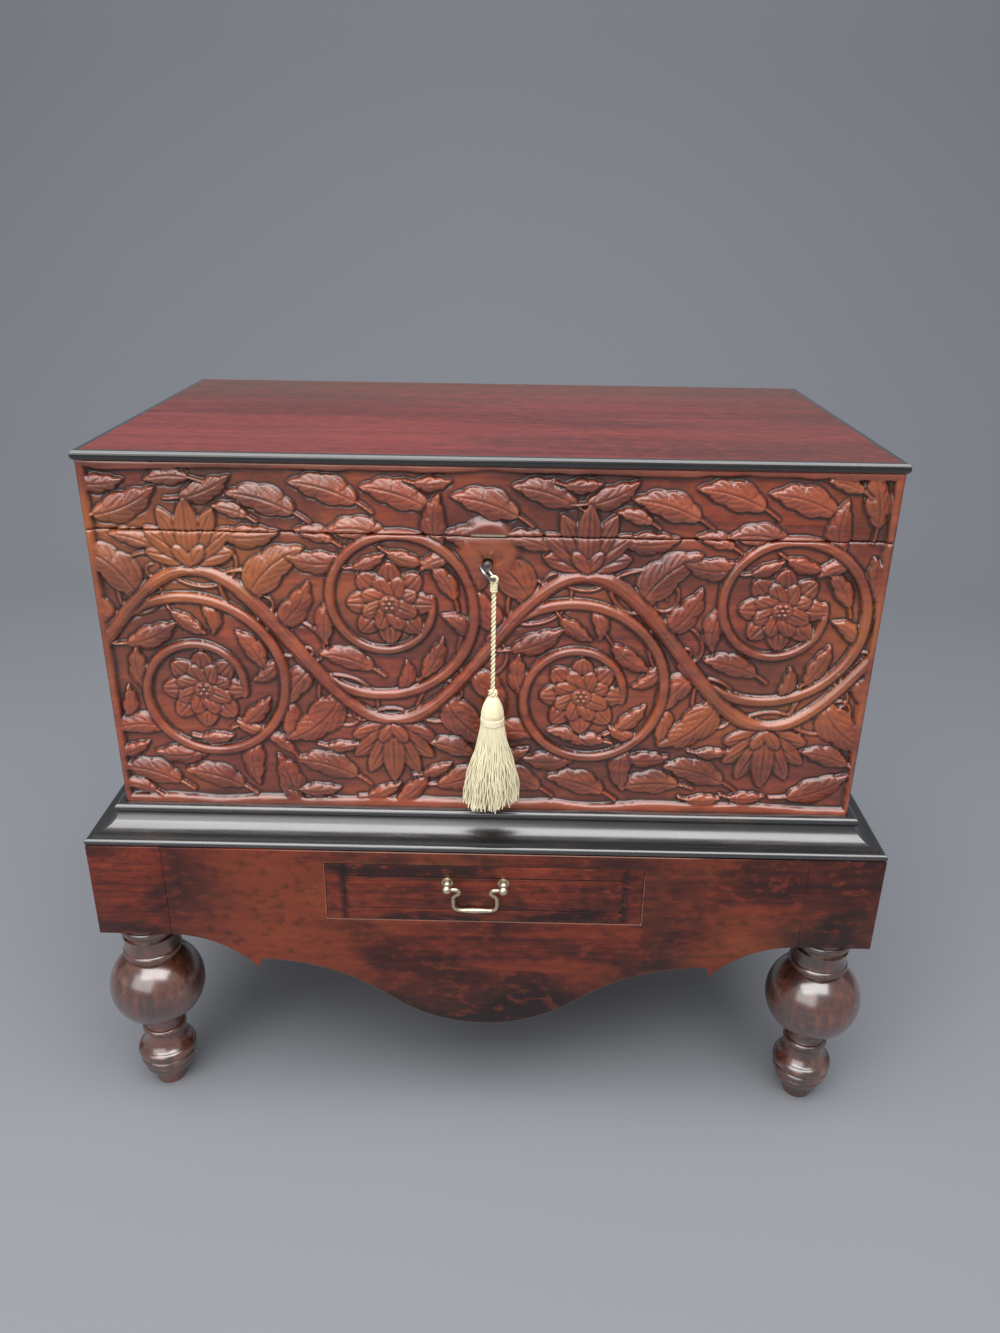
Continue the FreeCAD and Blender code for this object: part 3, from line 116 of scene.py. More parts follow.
class Pad:
    """A node tree under construction."""

    def __init__(self, tree: bpy.types.NodeTree) -> None:
        """Starts on the tree of a material or of geometry nodes."""
        self.tree = tree

    def add(self, kind: str, inputs: dict | None = None, **settings: object) -> Node:
        """Adds a node.

        Args:
            kind: Blender's name of the node type.
            inputs: values or sockets by input name or number.
            **settings: properties of the node.

        Returns:
            The node.
        """
        node = self.tree.nodes.new(kind)
        for name, value in settings.items():
            setattr(node, name, value)
        for key, value in (inputs or {}).items():
            self.feed(node.inputs[key], value)
        return node

    def feed(self, socket: Socket, value: object) -> None:
        """Links an output or a number to an input, or sets the input to a plain value.

        Args:
            socket: the input.
            value: the output, the number or the plain value.
        """
        if isinstance(value, Number):
            value = value.socket
        if isinstance(value, bpy.types.NodeSocket):
            self.tree.links.new(value, socket)
        else:
            socket.default_value = value


class Number:
    """A number that a node gives, with plain arithmetic."""

    def __init__(self, pad: Pad, socket: Socket) -> None:
        """Wraps an output of the pad's tree."""
        self.pad = pad
        self.socket = socket

    def apply(self, operation: str, *others: object) -> "Number":
        """Does one operation of a Math node.

        Args:
            operation: the operation's name.
            *others: the other numbers, plain or from nodes.

        Returns:
            The result.
        """
        inputs = dict(enumerate((self, *others)))
        node = self.pad.add("ShaderNodeMath", inputs, operation=operation)
        return Number(self.pad, node.outputs[0])

    def __add__(self, other: object) -> "Number":
        """Adds."""
        return self.apply("ADD", other)

    def __sub__(self, other: object) -> "Number":
        """Takes away."""
        return self.apply("SUBTRACT", other)

    def __mul__(self, other: object) -> "Number":
        """Multiplies."""
        return self.apply("MULTIPLY", other)

    def between(self, low: float, high: float) -> "Number":
        """Runs from 0 at low to 1 at high, smoothly.

        Args:
            low: the value that gives 0.
            high: the value that gives 1.

        Returns:
            The share.
        """
        inputs = {"Value": self, "From Min": low, "From Max": high}
        node = self.pad.add("ShaderNodeMapRange", inputs, interpolation_type="SMOOTHSTEP")
        return Number(self.pad, node.outputs["Result"])

    def step(self, step: Step) -> "Number":
        """Runs from 0 to 1 across a step of colour."""
        return self.between(*step.value)


class FinishPad(Pad):
    """A material under construction, with one principled shader."""

    def __init__(self, name: str) -> None:
        """Makes the material.

        Args:
            name: the finish's name.
        """
        self.material = bpy.data.materials.new(name)
        self.material.use_nodes = True
        super().__init__(self.material.node_tree)
        self.tree.nodes.clear()
        self.shader = self.add("ShaderNodeBsdfPrincipled")
        self.add("ShaderNodeOutputMaterial", {"Surface": self.shader.outputs["BSDF"]})
        self.place = self.add("ShaderNodeTexCoord").outputs["Object"]

    def set(self, **values: object) -> None:
        """Sets inputs of the shader, with underscores for the blanks in their names."""
        for name, value in values.items():
            self.feed(self.shader.inputs[name.replace("_", " ")], value)

    def axis(self, name: str) -> Number:
        """One part of the place on the object, by the name of its axis."""
        return Number(self, self.add("ShaderNodeSeparateXYZ", {"Vector": self.place}).outputs[name])

    def noise(self, scales: Triple, detail: float = 2.0, distortion: float = 0.0, shift: Triple = (0, 0, 0),
              turn: Triple = (0, 0, 0)) -> Number:
        """A noise pattern over the object.

        Args:
            scales: patches per metre on the three axes.
            detail: octaves.
            distortion: how far the pattern is swirled.
            shift: shift after scaling.
            turn: turn in radians after scaling.

        Returns:
            The value, from 0 to 1 about a half.
        """
        inputs = {"Vector": self.place, "Scale": scales, "Location": shift, "Rotation": turn}
        place = self.add("ShaderNodeMapping", inputs).outputs["Vector"]
        inputs = {"Vector": place, "Scale": 1.0, "Detail": detail, "Distortion": distortion}
        return Number(self, self.add("ShaderNodeTexNoise", inputs).outputs["Fac"])

    def attribute(self, name: str) -> Number:
        """A number stored on the mesh."""
        return Number(self, self.add("ShaderNodeAttribute", attribute_name=name).outputs["Fac"])

    def mix(self, share: object, first: object, second: object) -> Socket:
        """Mixes two colours.

        Args:
            share: how much of the second.
            first: a colour or an output.
            second: a colour or an output.

        Returns:
            The colour output.
        """
        node = self.add("ShaderNodeMix", {0: share}, data_type="RGBA")
        for number, value in ((6, first), (7, second)):
            self.feed(node.inputs[number], (*value, 1.0) if isinstance(value, tuple) else value)
        return node.outputs[2]

    def bump(self, height: Number, depth: float, strength: float) -> None:
        """Gives the surface a fine relief, with the depth of a full step in metres."""
        inputs = {"Height": height, "Distance": depth, "Strength": strength}
        self.set(Normal=self.add("ShaderNodeBump", inputs).outputs["Normal"])


@dataclass(frozen=True)
class Zone:
    """A stretch of a board that is darker or brighter, by its middle and half its width on X."""

    middle: float
    half: float
    strength: float
    colour: Colour


@dataclass(frozen=True)
class Wood:
    """A stained, polished wood with streaks, pores and stain blotches, and painted shade behind its front
    face.

    Patch holds patches per metre along and across the fibres. Line weights are the shares of bands,
    streaks and fibres. The painted light fading is given by an axis, where it starts and where it is full:
    painted shade down the stand, painted sheen towards the back of the lid.
    """

    name: str
    grain: Grain
    pale: Colour
    body: Colour
    dark: Colour
    stain: Colour
    warm: Colour = (0.42, 0.125, 0.040)
    warmth: float = 0.0
    blotch: float = 0.5
    patch: Pair = (4.6, 12.0)
    patch_detail: float = 7.0
    patch_swirl: float = 0.6
    worn: Colour = (0.34, 0.17, 0.11)
    wear: float = 0.0
    worn_reach: float = 0.25
    worn_fade: float = 0.02
    roughness: float = 0.36
    roughness_spread: float = 0.16
    specular: float = 0.4
    coat: float = 0.25
    coat_roughness: float = 0.18
    coat_ior: float = 1.5
    shift: Triple = (0.0, 0.0, 0.0)
    face: float | None = None
    face_skin: Pair = (0.0003, 0.0008)
    painted_light_fade: tuple[str, float, float] | None = None
    painted_light_colour: Colour = (0.020, 0.008, 0.007)
    zones: tuple[Zone, ...] = ()
    mottle: float = 0.3
    line_weights: Triple = (0.45, 0.33, 0.22)
    pore_tint: float = 0.4
    fine_relief: Pair = (0.4, 0.6)
    set_back_shade: float = 0.92
    painted_light_weights: Pair = (1.1, 0.6)
    zone_least: float = 0.3
    rub_scale: float = 7.0
    pore_depth: float = 0.00025

    def pattern(self, pad: FinishPad, figure: Figure) -> Number:
        """A pattern drawn out along the fibres."""
        along, across, detail, swirl, lean = figure.value
        return pad.noise(self.grain.scales(along, across), detail, swirl, self.shift, (0.0, lean, 0.0))

    def base(self, pad: FinishPad) -> tuple[Socket, Number]:
        """The colour of the polished wood and the height of its pores.

        Args:
            pad: the material.

        Returns:
            The colour output and the fine relief.
        """
        bands = self.pattern(pad, Figure.BANDS)
        streaks = self.pattern(pad, Figure.STREAKS)
        fibres = self.pattern(pad, Figure.FIBRES)
        banded, streaked, fibred = self.line_weights
        lines = bands * banded + streaks * streaked + fibres * fibred
        tone = pad.mix(lines.step(Step.BODY), self.dark, self.body)
        tone = pad.mix(lines.step(Step.PALE), tone, self.pale)
        glow = self.pattern(pad, Figure.GLOW)
        tone = pad.mix(glow.step(Step.WARM) * self.warmth, tone, self.warm)
        patches = pad.noise(self.grain.scales(*self.patch), self.patch_detail, self.patch_swirl, self.shift)
        tone = pad.mix(patches.step(Step.STAIN) * self.blotch, tone, self.stain)
        pores = self.pattern(pad, Figure.PORES).step(Step.PORE)
        tone = pad.mix(pores * self.pore_tint, tone, self.stain)
        rise, drop = self.fine_relief
        return self.aged(pad, tone, patches, streaks), fibres * rise - pores * drop

    def aged(self, pad: FinishPad, tone: Socket, patches: Number, streaks: Number) -> Socket:
        """Lays painted shade behind the front face, painted light along an axis, zones, mottle and wear over
        a colour.

        Args:
            pad: the material.
            tone: the colour output.
            patches: the pattern of the stain blotches.
            streaks: the pattern of the streaks.

        Returns:
            The colour output.
        """
        # painted shade: the faces that lie behind the front face are darkened towards the stain colour
        if self.face is not None:
            start, end = (self.face + depth for depth in self.face_skin)
            tone = pad.mix(pad.axis("Y").between(start, end) * self.set_back_shade, tone, self.stain)
        # painted shade and painted sheen: a patchy shift towards the painted light colour along one axis
        if self.painted_light_fade is not None:
            axis, start, end = self.painted_light_fade
            patchy, streaky = self.painted_light_weights
            share = pad.axis(axis).between(start, end) * (patches * patchy + streaks * streaky)
            tone = pad.mix(share, tone, self.painted_light_colour)
        for zone in self.zones:
            away = (pad.axis("X") - zone.middle).apply("ABSOLUTE")
            share = away.between(zone.half, 0.0) * (patches + self.zone_least) * zone.strength
            tone = pad.mix(share, tone, zone.colour)
        flecks = self.pattern(pad, Figure.FLECKS)
        tone = pad.mix(flecks.step(Step.SPECK) * self.mottle, tone, self.stain)
        tone = pad.mix(flecks.step(Step.GLINT) * self.mottle, tone, self.pale)
        if self.wear:
            near = pad.axis("X").apply("ABSOLUTE").between(self.worn_reach, self.worn_reach - self.worn_fade)
            edge = pad.attribute("edge") * near * streaks.step(Step.WORN)
            tone = pad.mix(edge * self.wear, tone, self.worn)
        return tone

    def finish(self, pad: FinishPad, colour: Socket, height: Number) -> Material:
        """Sets the polish over a colour.

        Args:
            pad: the material.
            colour: the colour output.
            height: the fine relief.

        Returns:
            The material.
        """
        rubbed = pad.noise((self.rub_scale,) * 3, detail=4.0, shift=self.shift)
        spread = self.roughness_spread
        pad.set(Base_Color=colour, Roughness=rubbed * (2 * spread) + (self.roughness - spread),
                Specular_IOR_Level=self.specular, Coat_Weight=self.coat,
                Coat_Roughness=self.coat_roughness, Coat_IOR=self.coat_ior)
        pad.bump(height, self.pore_depth, strength=0.5)
        return pad.material

    def material(self) -> Material:
        """The finish as a material."""
        pad = FinishPad(self.name)
        return self.finish(pad, *self.base(pad))


@dataclass(frozen=True)
class CarvedWood(Wood):
    """The same wood where it is carved: painted shade in the hollows, rubbed pale on the crests."""

    hollow_shade: Colour = (0.020, 0.007, 0.005)
    crest: Colour = (0.34, 0.110, 0.055)
    crest_scale: float = 22.0
    crest_share: float = 0.5
    hollow_shade_share: float = 0.94

    def material(self) -> Material:
        """The finish as a material that reads the carving's own hollows and crests.

        Returns:
            The material.
        """
        pad = FinishPad(self.name)
        colour, height = self.base(pad)
        rubbed = pad.noise((self.crest_scale,) * 3, detail=3.0).step(Step.CREST)
        colour = pad.mix(pad.attribute("crest") * rubbed * self.crest_share, colour, self.crest)
        # painted shade: the carving's hollows are darkened towards a near-black brown
        colour = pad.mix(pad.attribute("hollow_shade") * self.hollow_shade_share, colour, self.hollow_shade)
        return self.finish(pad, colour, height)


@dataclass(frozen=True)
class Ebony:
    """Wood stained black under a satin polish, rubbed brown here and there."""

    name: str = "ebonised_polish"
    black: Colour = (0.012, 0.011, 0.011)
    rubbed: Colour = (0.055, 0.030, 0.022)
    rub_share: float = 0.6
    roughness: float = 0.30
    roughness_spread: Pair = (0.22, 0.10)
    specular: float = 0.9
    coat_roughness: float = 0.2
    coat_ior: float = 1.65
    wear_scales: Triple = (14.0, 14.0, 40.0)
    stroke_scales: Triple = (10.0, 10.0, 260.0)
    stroke_depth: float = 0.0003

    def material(self) -> Material:
        """The finish as a material.

        Returns:
            The material.
        """
        pad = FinishPad(self.name)
        wear = pad.noise(self.wear_scales, detail=6.0)
        strokes = pad.noise(self.stroke_scales, detail=3.0)
        by_wear, by_stroke = self.roughness_spread
        least = self.roughness - (by_wear + by_stroke) / 2
        pad.set(Base_Color=pad.mix(wear.step(Step.RUBBED) * self.rub_share, self.black, self.rubbed),
                Roughness=wear * by_wear + strokes * by_stroke + least,
                Specular_IOR_Level=self.specular, Coat_Weight=1.0,
                Coat_Roughness=self.coat_roughness, Coat_IOR=self.coat_ior)
        pad.bump(strokes * 0.5 + wear * 0.5, self.stroke_depth, strength=0.2)
        return pad.material


@dataclass(frozen=True)
class TurnedWood(Wood):
    """Turned feet: dark gloss with lathe lines, and pale scuffs where they have been knocked."""

    scuff: Colour = (0.28, 0.115, 0.055)
    scuff_scales: Triple = (34.0, 34.0, 48.0)
    scuff_shift: Triple = (3.1, 0.0, 0.0)
    scuff_share: float = 0.7
    lathe_scales: Triple = (2.0, 2.0, 900.0)
    lathe_relief: Pair = (0.5, 0.6)

    def material(self) -> Material:
        """The finish as a material.

        Returns:
            The material.
        """
        pad = FinishPad(self.name)
        colour, height = self.base(pad)
        scuffs = pad.noise(self.scuff_scales, detail=9.0, distortion=0.2, shift=self.scuff_shift)
        colour = pad.mix(scuffs.step(Step.SCUFF) * self.scuff_share, colour, self.scuff)
        lathe = pad.noise(self.lathe_scales)
        pores, turns = self.lathe_relief
        return self.finish(pad, colour, height * pores + lathe * turns)


@dataclass(frozen=True)
class Metal:
    """A metal with a dull film in patches and fine scratches."""

    name: str
    bright: Colour
    dull: Colour
    roughness: float = 0.28
    film_scale: float = 170.0
    film_roughness: float = 0.30
    bright_gain: float = 0.10
    scratch_scales: Triple = (400.0, 2600.0, 900.0)
    scratch_depth: float = 0.00006

    def material(self) -> Material:
        """The finish as a material.

        Returns:
            The material.
        """
        pad = FinishPad(self.name)
        film = pad.noise((self.film_scale,) * 3, detail=5.0)
        scratches = pad.noise(self.scratch_scales)
        pad.set(Base_Color=pad.mix(film.step(Step.FILM), self.bright, self.dull), Metallic=1.0,
                Roughness=film * self.film_roughness + (self.roughness - self.bright_gain))
        pad.bump(scratches + film, self.scratch_depth, strength=0.4)
        return pad.material


@dataclass(frozen=True)
class Thread:
    """Cream silk thread, laid by twist."""

    name: str = "tassel_thread"
    pale: Colour = (1.0, 0.93, 0.67)
    deep: Colour = (0.95, 0.79, 0.49)
    tone_weights: Pair = (0.7, 0.3)
    lay_per_metre: float = 4200.0
    lay_depth: float = 0.0002
    fuzz_scales: Triple = (900.0, 900.0, 260.0)

    def material(self) -> Material:
        """The finish as a material that reads each thread's own shade and twist.

        Returns:
            The material.
        """
        pad = FinishPad(self.name)
        shade = pad.attribute("shade")
        lay = (pad.attribute("along") * self.lay_per_metre + pad.attribute("around") * TURN).apply("SINE")
        fuzz = pad.noise(self.fuzz_scales)
        own, loose = self.tone_weights
        pad.set(Base_Color=pad.mix(shade * own + fuzz * loose, self.pale, self.deep), Roughness=0.55,
                Sheen_Weight=0.35, Sheen_Roughness=0.35)
        pad.bump(lay * 0.5 + fuzz * 0.5, self.lay_depth, strength=0.6)
        return pad.material


@dataclass
class Finishes:
    """Every finish of the object, made once. The sizes say where the painted sheen of the lid, the painted
    shade of the stand and the dark bands of the drawer start and end.
    """

    lid_sheen_start: float = 0.22
    apron_shade_rise: Pair = (0.10, 0.03)
    drawer_line: float = 0.0205
    soot: Colour = (0.016, 0.007, 0.007)
    grime: Colour = (0.010, 0.005, 0.005)

    def __post_init__(self) -> None:
        """Makes the materials."""
        self.chest_woods()
        self.stand_woods()
        self.plain_woods()
        self.fittings()

    def chest_woods(self) -> None:
        """The boards of the box, the carved front and the lid."""
        red = Wood("case_polish", Grain.ALONG_X, pale=(0.40, 0.120, 0.052), body=(0.270, 0.068, 0.034),
                   dark=(0.110, 0.026, 0.016), stain=(0.035, 0.011, 0.009))
        self.case = red.material()
        self.case_sides = replace(red, name="case_side_polish", grain=Grain.ALONG_Y).material()
        self.carved = CarvedWood(
            "carved_polish", Grain.ALONG_X, pale=(0.410, 0.081, 0.026), body=(0.285, 0.046, 0.017),
            dark=(0.125, 0.022, 0.012), stain=(0.085, 0.014, 0.010), warm=(0.40, 0.110, 0.024), warmth=0.85,
            blotch=0.7, patch=(5.0, 9.0), roughness=0.38, coat=1.0, coat_roughness=0.19,
            coat_ior=1.6).material()
        low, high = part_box("lid_top")
        # painted sheen: the lid is painted browner and greyer towards its back
        self.lid = Wood(
            "lid_polish", Grain.ALONG_X, pale=(0.255, 0.050, 0.042), body=(0.205, 0.038, 0.034),
            dark=(0.135, 0.026, 0.024), stain=(0.070, 0.022, 0.020), blotch=0.55, patch=(2.2, 14.0),
            mottle=0.5, zones=(Zone(0.38, 0.28, 0.4, (0.120, 0.050, 0.040)),), roughness=0.42, coat=0.26,
            coat_roughness=0.32, shift=(0.3, 1.1, 0.0), painted_light_fade=("Y", low.y + self.lid_sheen_start, high.y),
            painted_light_colour=(0.120, 0.062, 0.045)).material()

    def stand_woods(self) -> None:
        """The boards and posts of the stand, the drawer's front and the turned feet."""
        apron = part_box("apron_front")[0]
        # painted shade: the stand darkens towards the foot of the apron and on the faces behind the apron's
        # front
        shade_start, shade_end = (apron.z + rise for rise in self.apron_shade_rise)
        stand = Wood(
            "stand_polish", Grain.ALONG_X, pale=(0.250, 0.042, 0.017), body=(0.172, 0.026, 0.012),
            dark=(0.078, 0.014, 0.010), stain=(0.014, 0.006, 0.006), warm=(0.300, 0.072, 0.023), warmth=0.65,
            blotch=0.7, patch=(8.0, 16.0), wear=0.6, mottle=0.45, roughness=0.38, specular=0.32, coat=0.22,
            shift=(1.7, 0.4, 0.9), face=apron.y, painted_light_fade=("Z", shade_start, shade_end),
            zones=(Zone(-0.355, 0.05, 0.4, self.soot), Zone(0.20, 0.09, 0.5, self.soot),
                   Zone(0.41, 0.10, 0.9, self.soot), Zone(-0.25, 0.12, 0.8, (0.290, 0.055, 0.020)),
                   Zone(0.0, 0.16, 0.22, self.soot)))
        self.stand = stand.material()
        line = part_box("drawer_front")[1].x - self.drawer_line
        # painted shade: the drawer keeps the stand's darkening towards the foot and behind the apron's front
        self.drawer = replace(
            stand, name="drawer_polish", warmth=0.45, pale=(0.250, 0.044, 0.018), dark=(0.045, 0.010, 0.008),
            blotch=0.9, patch=(5.0, 26.0), mottle=0.55, shift=(0.6, 2.3, 1.4),
            zones=(Zone(-line, 0.008, 1.1, self.grime), Zone(line, 0.008, 1.1, self.grime),
                   Zone(0.15, 0.09, 0.6, self.grime))).material()
        plain = replace(stand, face=None, painted_light_fade=None, wear=0.0)
        self.stand_sides = replace(plain, name="stand_side_polish", grain=Grain.ALONG_Y, zones=()).material()
        self.posts = replace(plain, name="post_polish").material()
        self.stand_back = replace(plain, name="stand_back_polish", zones=()).material()
        self.turned = TurnedWood(
            "turned_polish", Grain.ALONG_Z, pale=(0.200, 0.056, 0.025), body=(0.098, 0.026, 0.013),
            dark=(0.032, 0.010, 0.008), stain=(0.010, 0.005, 0.005), coat=1.0, coat_roughness=0.2,
            coat_ior=2.1).material()

    def plain_woods(self) -> None:
        """The unpolished wood inside."""
        inner = Wood("plain_inner_wood", Grain.ALONG_X, pale=(0.46, 0.29, 0.16), body=(0.36, 0.205, 0.11),
                     dark=(0.25, 0.13, 0.07), stain=(0.12, 0.06, 0.035), blotch=0.25, roughness=0.62,
                     roughness_spread=0.08, coat=0.0)
        self.inner = inner.material()
        self.inner_sides = replace(inner, name="plain_inner_side_wood", grain=Grain.ALONG_Y).material()

    def fittings(self) -> None:
        """The ebonised runs, the metals and the thread."""
        self.ebony = Ebony().material()
        self.edging = Ebony("edging_polish", roughness=0.22, specular=0.5, coat_roughness=0.09,
                            coat_ior=1.5).material()
        self.brass = Metal("aged_brass", bright=(0.77, 0.67, 0.49), dull=(0.47, 0.39, 0.27),
                           roughness=0.36).material()
        self.tarnish = Metal("tarnished_brass", bright=(0.16, 0.125, 0.085),
                             dull=(0.05, 0.04, 0.03)).material()
        self.steel = Metal("worn_steel", bright=(0.44, 0.43, 0.42), dull=(0.13, 0.12, 0.11)).material()
        self.thread = Thread().material()


def linked(name: str, data: bpy.types.ID) -> Object:
    """Makes an object and puts it in the scene.

    Args:
        name: the object's name.
        data: its mesh, curve, light or camera.

    Returns:
        The object.
    """
    made = bpy.data.objects.new(name, data)
    bpy.context.scene.collection.objects.link(made)
    return made


@dataclass
class PhotoCamera:
    """The camera at the photograph's place, in metres, degrees and pixels of a 1000 x 1333 picture."""

    place: Triple = (0.02504, -1.24327, 1.04589)
    yaw: float = -0.62
    pitch: float = 23.995
    roll: float = -0.83
    focal_pixels: float = 1032.6
    picture_height: float = 1333.0
    sensor: float = 36.0

    def build(self) -> None:
        """Makes the camera and sets it on the scene."""
        yaw, pitch, roll = (math.radians(angle) for angle in (self.yaw, self.pitch, self.roll))
        ahead = Vector((math.sin(yaw) * math.cos(pitch), math.cos(yaw) * math.cos(pitch), -math.sin(pitch)))
        level = Vector((math.cos(yaw), -math.sin(yaw), 0.0))
        down = ahead.cross(level)
        right = math.cos(roll) * level + math.sin(roll) * down
        up = math.sin(roll) * level - math.cos(roll) * down
        data = bpy.data.cameras.new("camera")
        data.sensor_width = self.sensor
        data.lens = self.focal_pixels * self.sensor / self.picture_height
        camera = linked("camera", data)
        turn = Matrix((right, up, -ahead)).transposed().to_4x4()
        camera.matrix_world = Matrix.Translation(self.place) @ turn
        bpy.context.scene.camera = camera


@dataclass
class Studio:
    """A pale floor that sweeps up behind the object, a large soft light overhead and a weak one in front."""

    floor_colour: Colour = (0.27, 0.28, 0.305)
    floor_shade: float = 0.94
    cloud_scale: float = 0.8
    floor_half: float = 12.0
    sweep_start: float = 1.6
    sweep_radius: float = 1.6
    sweep_steps: int = 24
    wall_height: float = 5.0
    sky_colour: Colour = (0.92, 0.96, 1.0)
    sky_strength: float = 0.36
    overhead_place: Triple = (0.0, -1.1, 3.2)
    overhead_size: Pair = (3.6, 2.8)
    overhead_power: float = 135.0
    front_place: Triple = (-1.5, -3.0, 2.3)
    front_size: Pair = (3.4, 2.4)
    front_power: float = 48.0
    aim: Triple = (0.0, 0.0, 0.45)

    def build(self) -> None:
        """Makes the floor, the sky and the lights."""
        bpy.context.scene.view_settings.view_transform = "Standard"
        self.floor()
        world = bpy.data.worlds.new("sky")
        world.use_nodes = True
        bpy.context.scene.world = world
        background = world.node_tree.nodes["Background"]
        background.inputs["Color"].default_value = (*self.sky_colour, 1.0)
        background.inputs["Strength"].default_value = self.sky_strength
        self.light("overhead", self.overhead_place, self.overhead_size, self.overhead_power)
        self.light("front", self.front_place, self.front_size, self.front_power)

    def floor(self) -> None:
        """Sweeps the floor's outline across the width."""
        bend = np.linspace(0.0, math.pi / 2, self.sweep_steps)
        ys = [-self.floor_half, *(self.sweep_start + self.sweep_radius * np.sin(bend))]
        zs = [0.0, *(self.sweep_radius * (1 - np.cos(bend)))]
        ys.append(ys[-1])
        zs.append(self.wall_height)
        points = [(side * self.floor_half, y, z) for y, z in zip(ys, zs) for side in (-1, 1)]
        faces = [(2 * i, 2 * i + 1, 2 * i + 3, 2 * i + 2) for i in range(len(ys) - 1)]
        pad = FinishPad("floor_paint")
        cloud = pad.noise((self.cloud_scale,) * 3, detail=3.0)
        darker = tuple(self.floor_shade * part for part in self.floor_colour)
        pad.set(Base_Color=pad.mix(cloud, self.floor_colour, darker), Roughness=0.85, Specular_IOR_Level=0.2)
        plain_mesh("floor", points, faces, pad.material)

    def light(self, name: str, place: Triple, size: Pair, power: float) -> None:
        """Makes one soft rectangular light that faces the object.

        Args:
            name: the light's name.
            place: its middle.
            size: its width and height.
            power: its power in watts.
        """
        data = bpy.data.lights.new(name, "AREA")
        data.shape = "RECTANGLE"
        data.size, data.size_y = size
        data.energy = power
        lamp = linked(name, data)
        lamp.location = place
        lamp.rotation_euler = (Vector(self.aim) - Vector(place)).to_track_quat("-Z", "Y").to_euler()


def plain_mesh(name: str, points: Array, faces: list, material: Material, smooth: bool = True) -> Object:
    """Makes a mesh object at the origin.

    Args:
        name: the piece's name.
        points: vertices in metres.
        faces: vertex numbers of each face.
        material: its finish.
        smooth: True for smooth shading.

    Returns:
        The object.
    """
    mesh = bpy.data.meshes.new(name)
    mesh.from_pydata([tuple(map(float, point)) for point in points], [], faces)
    mesh.materials.append(material)
    mesh.polygons.foreach_set("use_smooth", [smooth] * len(mesh.polygons))
    return linked(name, mesh)


def evaluated_mesh(piece: Object) -> bpy.types.Mesh:
    """What a curve or a piece's modifiers make, as a plain mesh.

    Args:
        piece: the object.

    Returns:
        The mesh.
    """
    bpy.context.view_layer.update()
    evaluated = piece.evaluated_get(bpy.context.evaluated_depsgraph_get())
    return bpy.data.meshes.new_from_object(evaluated)


def settled(piece: Object) -> None:
    """Turns what a piece's modifiers make into its own plain mesh, and removes them.

    Args:
        piece: the object.
    """
    mesh = evaluated_mesh(piece)
    mesh.name = piece.name
    piece.modifiers.clear()
    piece.data = mesh


def store(piece: Object, name: str, domain: str, values: Array) -> None:
    """Stores numbers on the points or the faces of a piece, for its finish."""
    layer = piece.data.attributes.new(name, "FLOAT", domain)
    layer.data.foreach_set("value", values.astype(np.float32))


def seat(piece: Object, body: Body, slot: str, *nodes: str) -> None:
    """Puts a piece on a body in place of the nodes that it stands for.

    Args:
        piece: the finished piece.
        body: the body that it moves with.
        slot: not used.
        *nodes: the solids that it replaces.
    """
    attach(piece, body.value)
    if nodes:
        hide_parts(*nodes)
    log.info("%s: %d faces on %s", piece.name, len(piece.data.polygons), body.value)


def coat_nodes(material: Material, *names: str) -> None:
    """Gives solids of the frame a finish.

    Args:
        material: the finish.
        *names: the solids' names.
    """
    for name in names:
        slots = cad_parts[name].data.materials
        slots.clear()
        slots.append(material)
        log.info("%s: %s", name, material.name)


@dataclass
class Board:
    """A copy of a solid as one closed mesh with its flat faces whole, and with soft edges if wished."""

    node: str
    name: str
    material: Material
    merge_distance: float = 0.00001
    flat_angle: float = math.radians(0.5)
    edge_angle: float = math.radians(40.0)
    crease_angle: float = math.radians(30.0)

    def plain(self) -> Object:
        """Copies the solid.

        Returns:
            The new piece.
        """
        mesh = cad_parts[self.node].data.copy()
        mesh.name = self.name
        work = bmesh.new()
        work.from_mesh(mesh)
        bmesh.ops.remove_doubles(work, verts=work.verts, dist=self.merge_distance)
        bmesh.ops.dissolve_limit(work, angle_limit=self.flat_angle, verts=work.verts, edges=work.edges)
        work.to_mesh(mesh)
        work.free()
        mesh.materials.clear()
        mesh.materials.append(self.material)
        return linked(self.name, mesh)

    def softened(self, arris: float) -> Object:
        """Copies the solid with its sharp edges rubbed round.

        Args:
            arris: width of the rounded edge.

        Returns:
            The new piece.
        """
        piece = self.plain()
        piece.data.materials.append(self.material)
        bevel = piece.modifiers.new("arris", "BEVEL")
        bevel.material = 1
        bevel.width = arris
        bevel.segments = 2
        bevel.limit_method = "ANGLE"
        bevel.angle_limit = self.edge_angle
        settled(piece)
        faces = piece.data.polygons
        edge = np.zeros(len(faces), np.int32)
        faces.foreach_get("material_index", edge)
        store(piece, "edge", "FACE", edge)
        faces.foreach_set("material_index", np.zeros(len(faces), np.int32))
        piece.data.materials.pop()
        faces.foreach_set("use_smooth", [True] * len(faces))
        piece.data.set_sharp_from_angle(angle=self.crease_angle)
        return piece


def softened(node: str, material: Material, arris: float = 0.0009) -> Object:
    """A copy of a board with its sharp edges rubbed round, by the solid's name."""
    return Board(node, node + "_board", material).softened(arris)


def smooth_step(low: float, high: float, value: Array) -> Array:
    """Shares that run from 0 at low to 1 at high with level ends."""
    share = np.clip((value - low) / (high - low), 0.0, 1.0)
    return share * share * (3 - 2 * share)


